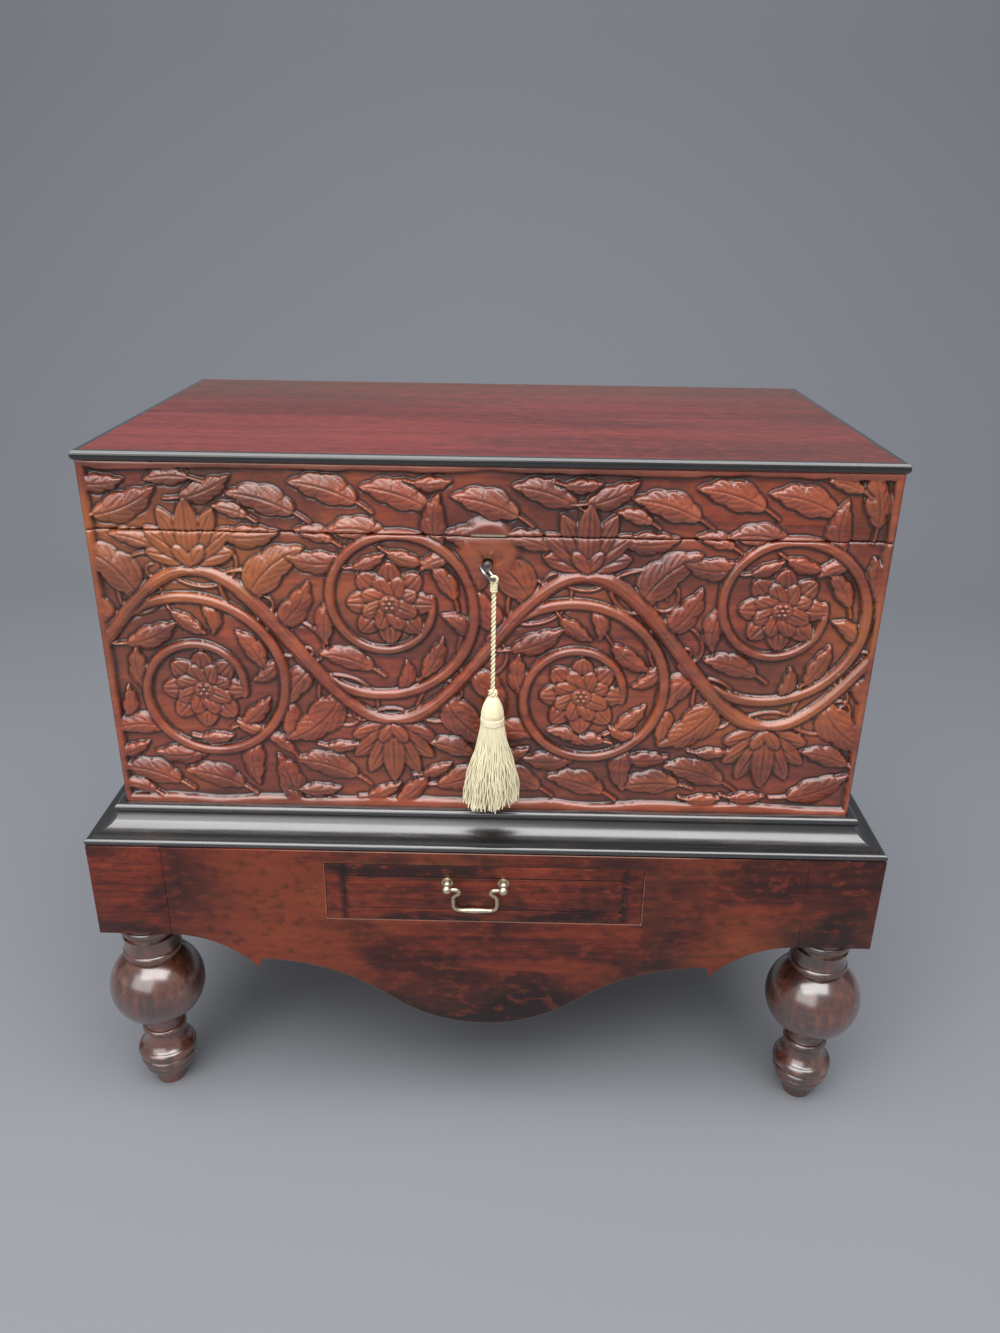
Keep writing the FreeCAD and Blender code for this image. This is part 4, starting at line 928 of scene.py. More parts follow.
class Uneven:
    """Smooth unevenness that depends only on the place and a fixed seed."""

    def __init__(self, seed: int, cells: int = 64) -> None:
        """Draws a table of that many cells, after which it repeats."""
        self.cells = cells
        self.table = np.random.default_rng(seed).random((cells, cells, 2))

    def cell(self, i: Array, k: Array) -> Array:
        """The two numbers of the cells in columns i and rows k."""
        return self.table[k % self.cells, i % self.cells]

    def wave(self, x: Array, z: Array, size: float) -> Array:
        """Value noise from -1 to 1.

        Args:
            x: places across.
            z: places up.
            size: size of a patch.

        Returns:
            The noise at each place.
        """
        across, up = x / size, z / size
        i, k = np.floor(across).astype(int), np.floor(up).astype(int)
        s, t = (smooth_step(0, 1, part - np.floor(part)) for part in (across, up))
        low, high = (self.cell(i, k + b)[..., 0] * (1 - s) + self.cell(i + 1, k + b)[..., 0] * s
                     for b in (0, 1))
        return 2 * (low * (1 - t) + high * t) - 1

    def scoops(self, x: Array, z: Array, size: float) -> Array:
        """Distance to the nearest of scattered gouge cuts, in cut sizes.

        Args:
            x: places across.
            z: places up.
            size: pitch of the cuts.

        Returns:
            The distance at each place.
        """
        across, up = x / size, z / size
        i, k = np.floor(across).astype(int), np.floor(up).astype(int)
        nearest = np.full(x.shape, np.inf)
        for b in (-1, 0, 1):
            for a in (-1, 0, 1):
                jitter = self.cell(i + a, k + b)
                away = np.hypot(i + a + jitter[..., 0] - across, k + b + jitter[..., 1] - up)
                nearest = np.minimum(nearest, away)
        return nearest


def blurred(heights: Array, steps: float) -> Array:
    """A grid smoothed by a bell of that many steps.

    Args:
        heights: the grid.
        steps: width of the bell in grid steps.

    Returns:
        The smoothed grid.
    """
    reach = max(1, math.ceil(3 * steps))
    bell = np.exp(-0.5 * (np.arange(-reach, reach + 1) / steps) ** 2)
    bell /= bell.sum()
    for axis in (0, 1):
        edges = [(reach, reach) if axis == a else (0, 0) for a in (0, 1)]
        padded = np.pad(heights, edges, mode="edge")
        heights = np.apply_along_axis(np.convolve, axis, padded, bell, mode="valid")
    return heights


@dataclass
class Stroke:
    """One carved form: a path with a width along it, in millimetres, and the way its top is cut."""

    path: Array
    half: Array
    foot: float = 2.0
    crown: float = 4.6
    fullness: float = 2.0
    lean: float = 0.0
    midrib: float = 0.0
    midrib_half: float = 1.1
    vein_pitch: float = 0.0
    vein_depth: float = 0.9
    vein_half: float = 0.9
    vein_slant: float = 0.9
    vein_start: Pair = (0.12, 0.3)
    flutes: int = 0
    flute_depth: float = 0.8
    least_half: float = 0.5
    cut_half: float = 3.0

    def top(self, along: Array, across: Array, half: Array) -> Array:
        """Height of the form over the ground, with shallower cuts where it is narrow.

        Args:
            along: distance along the path.
            across: distance to the left of it.
            half: half the form's width there.

        Returns:
            The heights.
        """
        share = np.clip(across / np.maximum(half, self.least_half), -1.0, 1.0)
        rise = self.foot + self.crown * (1 - np.abs(share) ** self.fullness) + self.lean * share
        wide = np.clip(half / self.cut_half, 0.0, 1.0)
        if self.midrib:
            rise = rise - self.midrib * wide * np.exp(-((across / self.midrib_half) ** 2))
        if self.vein_pitch:
            phase = (along - self.vein_slant * np.abs(across)) / self.vein_pitch
            away = (phase - np.floor(phase) - 0.5) * self.vein_pitch
            cut = np.exp(-((away / self.vein_half) ** 2))
            rise = rise - self.vein_depth * cut * wide * smooth_step(*self.vein_start, np.abs(share))
        if self.flutes:
            ripple = 0.5 + 0.5 * np.cos(math.pi * share * (self.flutes + 1))
            rise = rise - self.flute_depth * wide * ripple ** 3
        return rise


@dataclass
class Canvas:
    """Heights of a carved face over its sunk ground, on a grid in millimetres.

    Each form has a steep wall on either side of its outline and a moat cut round it, within a margin.
    """

    left: float
    right: float
    low: float
    high: float
    pitch: float
    margin: float = 7.0
    wall: float = 0.9
    moat: float = 1.3
    moat_width: float = 2.2
    deepest: float = -1.2
    spread: int = 24
    far: float = 1000.0
    xs: Array = field(init=False)
    zs: Array = field(init=False)
    heights: Array = field(init=False)

    def __post_init__(self) -> None:
        """Lays out the grid."""
        self.xs = np.linspace(self.left, self.right, round((self.right - self.left) / self.pitch) + 1)
        self.zs = np.linspace(self.low, self.high, round((self.high - self.low) / self.pitch) + 1)
        self.heights = np.zeros((len(self.zs), len(self.xs)))

    def places(self) -> tuple[Array, Array]:
        """The place of every grid point, across and up."""
        return np.meshgrid(self.xs, self.zs)

    def nearest(self, x: Array, z: Array) -> tuple[Array, Array]:
        """The row and column of the grid point nearest to each place.

        Args:
            x: places across.
            z: places up.

        Returns:
            The rows and the columns.
        """
        column = np.clip(np.round((x - self.left) / self.pitch), 0, len(self.xs) - 1)
        row = np.clip(np.round((z - self.low) / self.pitch), 0, len(self.zs) - 1)
        return row.astype(int), column.astype(int)

    def room(self, height: float) -> Array:
        """How far each place lies from any form of that height or from the edge.

        Args:
            height: the least height of a form.

        Returns:
            The distances.
        """
        taken = self.heights > height
        taken[[0, -1], :] = True
        taken[:, [0, -1]] = True
        room = np.where(taken, 0.0, self.far)
        steps = ((0, 1), (0, -1), (1, 0), (-1, 0), (1, 1), (1, -1), (-1, 1), (-1, -1))
        for _ in range(self.spread):
            for step in steps:
                away = self.pitch * math.hypot(*step)
                room = np.minimum(room, np.roll(room, step, axis=(0, 1)) + away)
        return room

    def cut(self, stroke: Stroke) -> None:
        """Carves one form over what is there, with a sunk line round it.

        Args:
            stroke: the form.
        """
        reach_out = stroke.half.max() + self.margin
        low, high = stroke.path.min(0) - reach_out, stroke.path.max(0) + reach_out
        i0, i1 = np.searchsorted(self.xs, (low[0], high[0]))
        k0, k1 = np.searchsorted(self.zs, (low[1], high[1]))
        if i0 == i1 or k0 == k1:
            return
        x, z = np.meshgrid(self.xs[i0:i1], self.zs[k0:k1])
        reach, along, across, width = (np.full(x.shape, start) for start in (-self.margin, 0.0, 0.0, 1.0))
        steps = tangents(stroke.path)
        for (px, pz), (tx, tz), half, length in zip(stroke.path, steps, stroke.half, runs(stroke.path)):
            a0, a1 = np.searchsorted(x[0], (px - half - self.margin, px + half + self.margin))
            b0, b1 = np.searchsorted(z[:, 0], (pz - half - self.margin, pz + half + self.margin))
            if a0 == a1 or b0 == b1:
                continue
            spot = (slice(b0, b1), slice(a0, a1))
            dx, dz = x[spot] - px, z[spot] - pz
            near = half - np.hypot(dx, dz)
            better = near > reach[spot]
            for grid, value in ((reach, near), (along, length), (across, tx * dz - tz * dx), (width, half)):
                grid[spot] = np.where(better, value, grid[spot])
        cover = smooth_step(-self.wall, self.wall, reach)
        trench = self.moat * np.exp(-((np.minimum(reach, 0.0) / self.moat_width) ** 2))
        window = (slice(k0, k1), slice(i0, i1))
        old = np.maximum(self.heights[window] - trench * (reach > -self.margin), self.deepest)
        self.heights[window] = old * (1 - cover) + stroke.top(along, across, width) * cover


def tangents(path: Array) -> Array:
    """The direction of a path at each of its points, as unit vectors."""
    steps = np.gradient(path, axis=0)
    return steps / np.linalg.norm(steps, axis=1)[:, None]


def runs(path: Array) -> Array:
    """The distance along a path to each of its points."""
    return np.concatenate(([0.0], np.cumsum(np.linalg.norm(np.diff(path, axis=0), axis=1))))


def heading(here: Array, ahead: Array) -> float:
    """The direction from one point to another in degrees, from +X towards +Z."""
    return math.degrees(math.atan2(*(ahead - here)[::-1]))


def arc_path(start: Array, aim: float, length: float, bend: float, curl: float = 0.0) -> Array:
    """A path that bends steadily, and more towards its end.

    Args:
        start: first point.
        aim: first direction in degrees, from +X towards +Z.
        length: its length.
        bend: turn over the whole length, in degrees.
        curl: further turn that comes near the end, in degrees.

    Returns:
        The points, about a millimetre apart.
    """
    share = np.linspace(0.0, 1.0, max(8, round(length)))
    turn = np.radians(aim + bend * share + curl * share ** 4)
    step = length / (len(share) - 1)
    path = np.cumsum(np.stack((np.cos(turn), np.sin(turn)), axis=1), axis=0) * step
    return np.asarray(start, float) + path - path[0]


@dataclass
class Leaf:
    """A leaf with a midrib, side veins and a lobed edge, in millimetres."""

    half_share: float = 0.21
    lobes: float = 3.5
    lobe_depth: float = 0.12
    shoulder: float = 0.72
    point: float = 0.85
    stalk_half: float = 1.5
    tip_half: float = 0.4
    lean: float = 1.1

    def form(self, start: Array, aim: float, length: float, bend: float, stalk: float = 0.0) -> Stroke:
        """One leaf.

        Args:
            start: where it grows from.
            aim: its first direction in degrees.
            length: its length.
            bend: its bend in degrees.
            stalk: the share of the length that is bare stalk.

        Returns:
            The form.
        """
        path = arc_path(start, aim, length, bend)
        share = np.clip((np.linspace(0.0, 1.0, len(path)) - stalk) / (1 - stalk), 0.0, 1.0)
        lobes = 1.0 + self.lobe_depth * np.sin(TURN * self.lobes * share)
        widest = self.half_share * (1 - stalk) * length
        blade = widest * np.sin(math.pi * share ** self.shoulder) ** self.point * lobes
        half = np.maximum(blade, self.stalk_half * (1 - share) + self.tip_half)
        return Stroke(path, half, foot=2.2, crown=4.2, fullness=1.7, lean=math.copysign(self.lean, bend),
                      midrib=1.7, vein_pitch=6.4)


@dataclass
class Lotus:
    """An open blossom and a half-open bud, in millimetres and degrees."""

    petals: int = 8
    radius: float = 44.0
    petal_half: float = 14.0
    petal_neck: float = 0.16
    petal_shoulder: float = 1.25
    petal_point: float = 0.8
    petal_tip: float = 0.4
    inner_radius: float = 30.0
    inner_half: float = 9.5
    inner_lift: float = 1.5
    heart_radius: float = 9.5
    seeds: int = 6
    seed_circle: float = 5.4
    seed_half: float = 1.6
    bud_length: float = 66.0
    bud_spreads: tuple[Pair, ...] = ((78.0, 0.70), (52.0, 0.85), (27.0, 0.94))
    bud_half: float = 11.0
    bud_lift: float = 0.4
    front_half: float = 12.5
    front_lift: float = 1.6
    sepal_drop: float = 4.0
    sepal_spread: float = 38.0
    sepal_length: float = 24.0
    sepal_half: float = 7.0
    sepal_lift: float = 2.2

    def petal(self, start: Array, aim: float, length: float, half: float, lift: float) -> Stroke:
        """One pointed petal.

        Args:
            start: its foot.
            aim: its direction in degrees.
            length: its length.
            half: half its greatest width.
            lift: how much higher than a plain form it stands.

        Returns:
            The form.
        """
        path = arc_path(start, aim, length, 0.0)
        share = np.linspace(0.0, 1.0, len(path))
        along = np.clip(self.petal_neck + (1 - self.petal_neck) * share, 0, 1) ** self.petal_shoulder
        width = half * np.sin(math.pi * along) ** self.petal_point + self.petal_tip
        return Stroke(path, width, foot=1.8 + lift, crown=2.6, fullness=2.4, midrib=0.9, flutes=3)

    def boss(self, middle: Array, half: float, foot: float, crown: float) -> Stroke:
        """A small round form of that radius, with the height of its rim and of its middle over the rim."""
        return Stroke(middle + np.array(((-0.3, 0.0), (0.3, 0.0))), np.full(2, half), foot=foot, crown=crown)

    def blossom(self, middle: Array) -> list[Stroke]:
        """Two rings of petals round a seeded heart.

        Args:
            middle: the blossom's middle.

        Returns:
            The forms.
        """
        pitch = 360.0 / self.petals
        outer = (self.radius, self.petal_half, 0.0, 0.0)
        inner = (self.inner_radius, self.inner_half, self.inner_lift, 0.5)
        forms = [self.petal(middle, pitch * (number + shift), length, half, lift)
                 for length, half, lift, shift in (outer, inner) for number in range(self.petals)]
        forms.append(self.boss(middle, self.heart_radius, foot=4.2, crown=2.2))
        angles = [TURN * number / self.seeds for number in range(self.seeds)]
        spots = [middle + self.seed_circle * np.array((math.cos(angle), math.sin(angle))) for angle in angles]
        return forms + [self.boss(spot, self.seed_half, foot=5.6, crown=1.3) for spot in (*spots, middle)]

    def bud(self, start: Array, side: int) -> list[Stroke]:
        """A bud that opens upwards or downwards.

        Args:
            start: its foot.
            side: 1 for upwards, -1 for downwards.

        Returns:
            The forms.
        """
        up = side * 90.0
        forms = [self.petal(start, up + hand * spread, share * self.bud_length, self.bud_half, self.bud_lift)
                 for spread, share in self.bud_spreads for hand in (-1, 1)]
        forms.append(self.petal(start, up, self.bud_length, self.front_half, self.front_lift))
        foot = start - np.array((0.0, self.sepal_drop * side))
        return forms + [self.petal(foot, up + hand * self.sepal_spread, self.sepal_length, self.sepal_half,
                                   self.sepal_lift) for hand in (-1, 1)]


@dataclass
class Fillers:
    """Stalked leaves for the pockets of ground that other forms leave bare, in millimetres and degrees."""

    pitch: float = 4.0
    least_pocket: float = 14.0
    most: int = 120
    ground: float = 0.8
    taken: float = 1.0
    turn_step: float = 20.0
    probes: tuple[float, ...] = (-1.4, -0.8, 0.8, 1.4)
    length_share: float = 3.1
    longest: float = 92.0
    start_share: float = 0.58
    lean: float = 20.0
    stalk: float = 0.25

    def grow(self, plan: Canvas, leaf: Leaf) -> list[Stroke]:
        """Grows a leaf in the largest pocket, again and again.

        Args:
            plan: a coarse canvas with the other forms.
            leaf: the maker of leaves.

        Returns:
            The new forms.
        """
        turns = np.radians(np.arange(0.0, 360.0, self.turn_step))
        aims = np.stack((np.cos(turns), np.sin(turns)), axis=-1)
        made: list[Stroke] = []
        while len(made) < self.most:
            room = plan.room(self.ground)
            k, i = np.unravel_index(np.argmax(room), room.shape)
            reach = float(room[k, i])
            if reach < self.least_pocket:
                break
            spot = np.array((plan.xs[i], plan.zs[k]))
            free = [sum(room[plan.nearest(*(spot + away * reach * aim))] for away in self.probes)
                    for aim in aims]
            best = int(np.argmax(free))
            length = min(self.length_share * reach, self.longest)
            start = spot - self.start_share * length * aims[best]
            aim = math.degrees(turns[best]) - self.lean
            made.append(leaf.form(start, aim, length, 2 * self.lean, self.stalk))
            plan.cut(made[-1])
            plan.heights[k, i] = self.taken
        return made


@dataclass
class VineScroll:
    """A scrolling lotus vine: a waving stem, a scroll and a blossom in each bay, leaves and tendrils.

    The leaves off a scroll are given by their share along it, their side, length and bend. Those off the
    stem are given by their share of half a bay, lean, length and bend.
    """

    half_width: float
    height: float
    foot: float
    bays: int = 4
    level: float = 230.0
    swing: float = 86.0
    stem_half: float = 8.0
    stem_overrun: float = 12.0
    stem_points: float = 2.4
    swell: float = 0.12
    swell_row: float = 200.0
    swell_size: float = 40.0
    scroll_drop: float = 52.0
    scroll_radius: float = 118.0
    scroll_end: float = 44.0
    scroll_turns: float = 1.42
    scroll_start: float = 146.0
    scroll_half: float = 6.0
    scroll_taper: Pair = (1.12, 0.3)
    scroll_points: int = 640
    scroll_step: float = 0.002
    leaf_turn: float = 38.0
    scroll_leaves: tuple[tuple[float, int, float, float], ...] = (
        (0.30, 1, 50.0, -46.0), (0.385, 1, 58.0, 42.0), (0.47, 1, 60.0, -46.0), (0.555, 1, 58.0, 42.0),
        (0.64, 1, 50.0, -46.0), (0.12, -1, 42.0, -60.0), (0.24, -1, 42.0, -60.0), (0.36, -1, 38.0, -60.0))
    stem_leaves: tuple[tuple[float, float, float, float], ...] = (
        (0.55, 24.0, 86.0, 48.0), (0.82, 58.0, 64.0, -44.0))
    bud_rise: float = 10.0
    tendrils_per_bay: int = 4
    tendril_reach: float = 0.93
    tendril_length: float = 125.0
    tendril_spread: float = 30.0
    tendril_phase: float = 1.9
    tendril_turn: float = 66.0
    tendril_bend: float = -150.0
    tendril_curl: float = -330.0
    tendril_half: Pair = (2.4, 1.2)
    slope_size: float = 70.0
    slope_depth: float = 0.9
    gouge_size: float = 8.0
    gouge_depth: float = 0.45
    gouge_stretch: Pair = (0.75, 1.25)
    ground_level: float = 0.1
    tool_depth: float = 0.22
    tool_size: float = 11.0
    tool_shift: float = 31.0
    leaf: Leaf = field(default_factory=Leaf)
    lotus: Lotus = field(default_factory=Lotus)
    unevenness: Uneven = field(default_factory=lambda: Uneven(SEED))

    def forms(self) -> list[Stroke]:
        """Every form of the design, in the order of carving.

        Returns:
            The forms, the lowest first.
        """
        bays = range(self.bays)
        leaves = [leaf for bay in bays for leaf in self.bay_leaves(bay)]
        scrolls = [self.scroll(bay) for bay in bays]
        flowers = [form for bay in bays for form in self.bay_flowers(bay)]
        main = leaves + scrolls + [self.stem()] + flowers
        fillers = Fillers()
        plan = Canvas(-self.half_width, self.half_width, self.foot, self.height, fillers.pitch)
        for form in main:
            plan.cut(form)
        return self.tendrils() + fillers.grow(plan, self.leaf) + main

    def paint(self, canvas: Canvas, forms: list[Stroke]) -> None:
        """Carves the design on a face.

        Args:
            canvas: the face.
            forms: the forms of the whole front.
        """
        x, z = canvas.places()
        canvas.heights = self.ground(x, z)
        for form in forms:
            canvas.cut(form)
        canvas.heights += self.tool_depth * self.unevenness.wave(x + self.tool_shift, z, self.tool_size)

    def ground(self, x: Array, z: Array) -> Array:
        """The sunk ground with its gouge cuts.

        Args:
            x: places across.
            z: places up.

        Returns:
            The heights.
        """
        slope = self.unevenness.wave(x, z, self.slope_size) * self.slope_depth
        wide, tall = self.gouge_stretch
        scoops = self.unevenness.scoops(x * wide, z * tall, self.gouge_size)
        return slope + self.gouge_depth * np.minimum(scoops, 1.0) ** 2 + self.ground_level

    def stem_point(self, x: Array) -> Array:
        """Places on the main stem, by the places across."""
        wave = np.sin(math.pi * (x / self.half_width + 1) * self.bays / 2)
        return np.stack((x, self.level + self.swing * wave), axis=-1)

    def stem(self) -> Stroke:
        """The waving main stem from end to end.

        Returns:
            The form.
        """
        end = self.half_width + self.stem_overrun
        x = np.linspace(-end, end, round(self.stem_points * self.half_width))
        swell = self.unevenness.wave(x, 0 * x + self.swell_row, self.swell_size)
        return Stroke(self.stem_point(x), self.stem_half * (1.0 + self.swell * swell), crown=4.8, flutes=2)

    def side(self, bay: int) -> int:
        """1 where the stem passes over the bay, and -1 where it passes under it."""
        return 1 if bay % 2 == 0 else -1

    def centre(self, bay: int) -> Array:
        """The middle of a bay's scroll, by the bay's number from the left."""
        x = self.half_width * ((2 * bay + 1) / self.bays - 1)
        return np.array((x, self.level - self.scroll_drop * self.side(bay)))

    def scroll_point(self, bay: int, share: Array) -> Array:
        """Places on the branch that winds into a bay.

        Args:
            bay: the bay's number.
            share: how far along the branch, from 0 to 1.

        Returns:
            The points.
        """
        angle = self.side(bay) * np.radians(self.scroll_start - 360.0 * self.scroll_turns * share)
        radius = self.scroll_radius * (self.scroll_end / self.scroll_radius) ** share
        return self.centre(bay) + radius[..., None] * np.stack((np.cos(angle), np.sin(angle)), axis=-1)

    def scroll(self, bay: int) -> Stroke:
        """The branch that winds into a bay, thinner towards its end.

        Args:
            bay: the bay's number.

        Returns:
            The branch.
        """
        share = np.linspace(0.0, 1.0, self.scroll_points)
        start, fall = self.scroll_taper
        half = self.scroll_half * (start - fall * share)
        return Stroke(self.scroll_point(bay, share), half, crown=4.4, flutes=1)

    def bay_leaves(self, bay: int) -> list[Stroke]:
        """The leaves off a scroll, outside and inside it, and off the stem beside the bud.

        Args:
            bay: the bay's number.

        Returns:
            The forms.
        """
        side = self.side(bay)
        leaves = []
        for share, hand, length, bend in self.scroll_leaves:
            here, ahead = self.scroll_point(bay, np.array((share, share + self.scroll_step)))
            aim = heading(here, ahead) + self.leaf_turn * hand * side
            leaves.append(self.leaf.form(here, aim, length, bend * side))
        for part, lean, length, bend in self.stem_leaves:
            for hand in (-1, 1):
                x = self.centre(bay)[0] + hand * part * self.half_width / self.bays
                aim = side * (90.0 - hand * lean)
                leaves.append(self.leaf.form(self.stem_point(np.array(x)), aim, length, -hand * side * bend))
        return leaves

    def bay_flowers(self, bay: int) -> list[Stroke]:
        """The blossom in a scroll, and the bud that grows out of the stem away from it.

        Args:
            bay: the bay's number.

        Returns:
            The forms.
        """
        side = self.side(bay)
        middle = self.centre(bay)
        start = np.array((middle[0], self.level + side * (self.swing + self.bud_rise)))
        return self.lotus.blossom(middle) + self.lotus.bud(start, side)

    def tendrils(self) -> list[Stroke]:
        """Thin curls that fill the ground beside the stem.

        Returns:
            The forms.
        """
        curls = []
        shares = np.linspace(-self.tendril_reach, self.tendril_reach, self.tendrils_per_bay * self.bays)
        for number, x in enumerate(shares * self.half_width):
            here, ahead = self.stem_point(np.array((x, x + 1.0)))
            for hand in (-1, 1):
                wave = math.sin(self.tendril_phase * number + hand)
                length = self.tendril_length + self.tendril_spread * wave
                aim = heading(here, ahead) + self.tendril_turn * hand
                path = arc_path(here, aim, length, self.tendril_bend * hand, self.tendril_curl * hand)
                curls.append(Stroke(path, np.linspace(*self.tendril_half, len(path)), foot=1.0, crown=2.2))
        return curls


@dataclass
class Keyhole:
    """The keyhole's outline on the carved face, round above and slotted below, in millimetres."""

    half: float
    level: float
    foot: float
    slot_half: float = 2.6

    @classmethod
    def of_liner(cls, base: float) -> "Keyhole":
        """Reads the outline from the keyhole's liner.

        Args:
            base: the Z of the carving's zero, in metres.

        Returns:
            The keyhole.
        """
        low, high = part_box("keyhole_liner")
        half = (high.x - low.x) / 2 / MM
        return cls(half, (high.z - base) / MM - half, (low.z - base) / MM)

    def inside(self, x: Array, z: Array) -> Array:
        """Distance into the outline.

        Args:
            x: places across.
            z: places up.

        Returns:
            The distances.
        """
        round_part = self.half - np.hypot(x, z - self.level)
        slot = np.minimum(self.slot_half - np.abs(x), np.minimum(z - self.foot, self.level - z))
        return np.maximum(round_part, slot)


@dataclass
class FrontMargin:
    """The raised margin round the whole front, the plain mound at the lock and the sunk keyhole.

    Ragged holds the depth and the size of the waves of the margin's edge. A slope runs from the place where
    a form starts to the place where it is at its full height.
    """

    half_width: float
    height: float
    foot: float
    keyhole: Keyhole
    ragged: tuple[Pair, ...] = ((3.2, 62.0), (1.0, 17.0))
    width: float = 6.5
    slope: Pair = (-2.5, 1.5)
    rise: float = 5.6
    crown: float = 1.4
    crown_slope: Pair = (0.0, 7.0)
    mound_half: float = 30.0
    mound_level: float = 343.0
    mound_height: float = 6.7
    mound_ragged: float = 0.8
    mound_slope: Pair = (-7.0, 5.0)
    blur: float = 0.55
    keyhole_depth: float = 1.2
    keyhole_slope: Pair = (-0.2, 0.2)

    def cut(self, canvas: Canvas, unevenness: Uneven) -> None:
        """Lays the margin and the mound over the carving, and sinks the keyhole.

        Args:
            canvas: the carved face.
            unevenness: the waves of the edge.
        """
        x, z = canvas.places()
        ragged = sum(depth * unevenness.wave(x, z, size) for depth, size in self.ragged)
        inside = np.minimum(self.half_width - np.abs(x), np.minimum(self.height - z, z - self.foot))
        margin = self.width + ragged - inside
        cover = smooth_step(*self.slope, margin)
        rise = self.rise + self.crown * smooth_step(*self.crown_slope, margin)
        canvas.heights = canvas.heights * (1 - cover) + rise * cover
        mound = self.mound_half + self.mound_ragged * ragged - np.hypot(x, z - self.mound_level)
        cover = smooth_step(*self.mound_slope, mound)
        canvas.heights = canvas.heights * (1 - cover) + self.mound_height * cover
        canvas.heights = blurred(canvas.heights, self.blur / canvas.pitch)
        sunk = smooth_step(*self.keyhole_slope, self.keyhole.inside(x, z))
        canvas.heights = canvas.heights * (1 - sunk) - self.keyhole_depth * sunk


@dataclass
class Relief:
    """Turns a carved canvas into a closed slab of wood at the front of a board.

    The Y of the highest carving, the Z of the canvas's zero and the Y of the slab's flat back are in metres.
    The depth of the ground under the face and the other sizes are in millimetres. A place is sunk or
    proud against the mean height within each of the two reaches, and the sunk places get painted shade.
    """

    canvas: Canvas
    face: float
    base: float
    back: float
    sink: float
    deepest: float = -1.3
    edge_drop: float = 1.3
    edge_width: float = 2.4
    reaches: Pair = (7.0, 2.2)
    hollow_shade_weights: Pair = (0.5, 0.8)
    hollow_shade_depths: Pair = (3.6, 1.2)
    crest_weights: Pair = (0.5, 1.0)
    crest_heights: Pair = (4.0, 0.8)

    def rounded(self) -> Array:
        """The heights with the outer edges of the board rubbed round.

        Returns:
            The heights.
        """
        c = self.canvas
        x, z = c.places()
        edge = np.minimum(np.minimum(x - c.left, c.right - x), np.minimum(z - c.low, c.high - z))
        drop = self.edge_drop * (1 - smooth_step(0.0, self.edge_width, edge))
        return np.clip(c.heights, self.deepest, self.sink) - drop

    def build(self, name: str, material: Material, most: int) -> Object:
        """Makes the slab.

        Args:
            name: the piece's name.
            material: its finish.
            most: the most triangles that it may have.

        Returns:
            The piece.
        """
        heights = self.rounded()
        x, z = self.canvas.places()
        y = self.face + (self.sink - heights) * MM
        points = np.stack((x * MM, y, self.base + z * MM), axis=-1).reshape(-1, 3)
        number = np.arange(heights.size).reshape(heights.shape)
        corners = (number[:-1, :-1], number[:-1, 1:], number[1:, 1:], number[1:, :-1])
        quads = np.stack(corners, axis=-1).reshape(-1, 4)
        rim = np.concatenate((number[0, :-1], number[:-1, -1], number[-1, :0:-1], number[:0:-1, 0]))
        behind = points[rim].copy()
        behind[:, 1] = self.back
        ring = len(points) + np.arange(len(rim))
        walls = np.stack((np.roll(rim, -1), rim, ring, np.roll(ring, -1)), axis=-1)
        faces = quads.tolist() + walls.tolist() + [ring[::-1].tolist()]
        piece = plain_mesh(name, np.concatenate((points, behind)), faces, material)
        total = 2 * len(quads) + 3 * len(rim)
        if total > most:
            thin = piece.modifiers.new("thin", "DECIMATE")
            thin.ratio = most / total
            settled(piece)
        self.shade(piece, heights)
        return piece

    def shade(self, piece: Object, heights: Array) -> None:
        """Stores how sunk and how proud each vertex lies, for the painted shade in the hollows and the rubbed
        crests.

        Args:
            piece: the slab.
            heights: its heights on the canvas.
        """
        around = [blurred(heights, reach / self.canvas.pitch) for reach in self.reaches]
        # painted shade mask: how far each place lies below its surroundings
        hollow_shade = sum(weight * np.clip((mean - heights) / depth, 0, 1)
                     for mean, weight, depth in zip(around, self.hollow_shade_weights, self.hollow_shade_depths))
        crest = sum(weight * np.clip((heights - mean) / rise, 0, 1)
                    for mean, weight, rise in zip(around, self.crest_weights, self.crest_heights))
        places = np.empty(3 * len(piece.data.vertices), np.float32)
        piece.data.vertices.foreach_get("co", places)
        x, _, z = places.reshape(-1, 3).T
        spots = self.canvas.nearest(x / MM, (z - self.base) / MM)
        for name, values in (("hollow_shade", hollow_shade), ("crest", crest)):
            store(piece, name, "POINT", np.clip(values[spots], 0, 1))


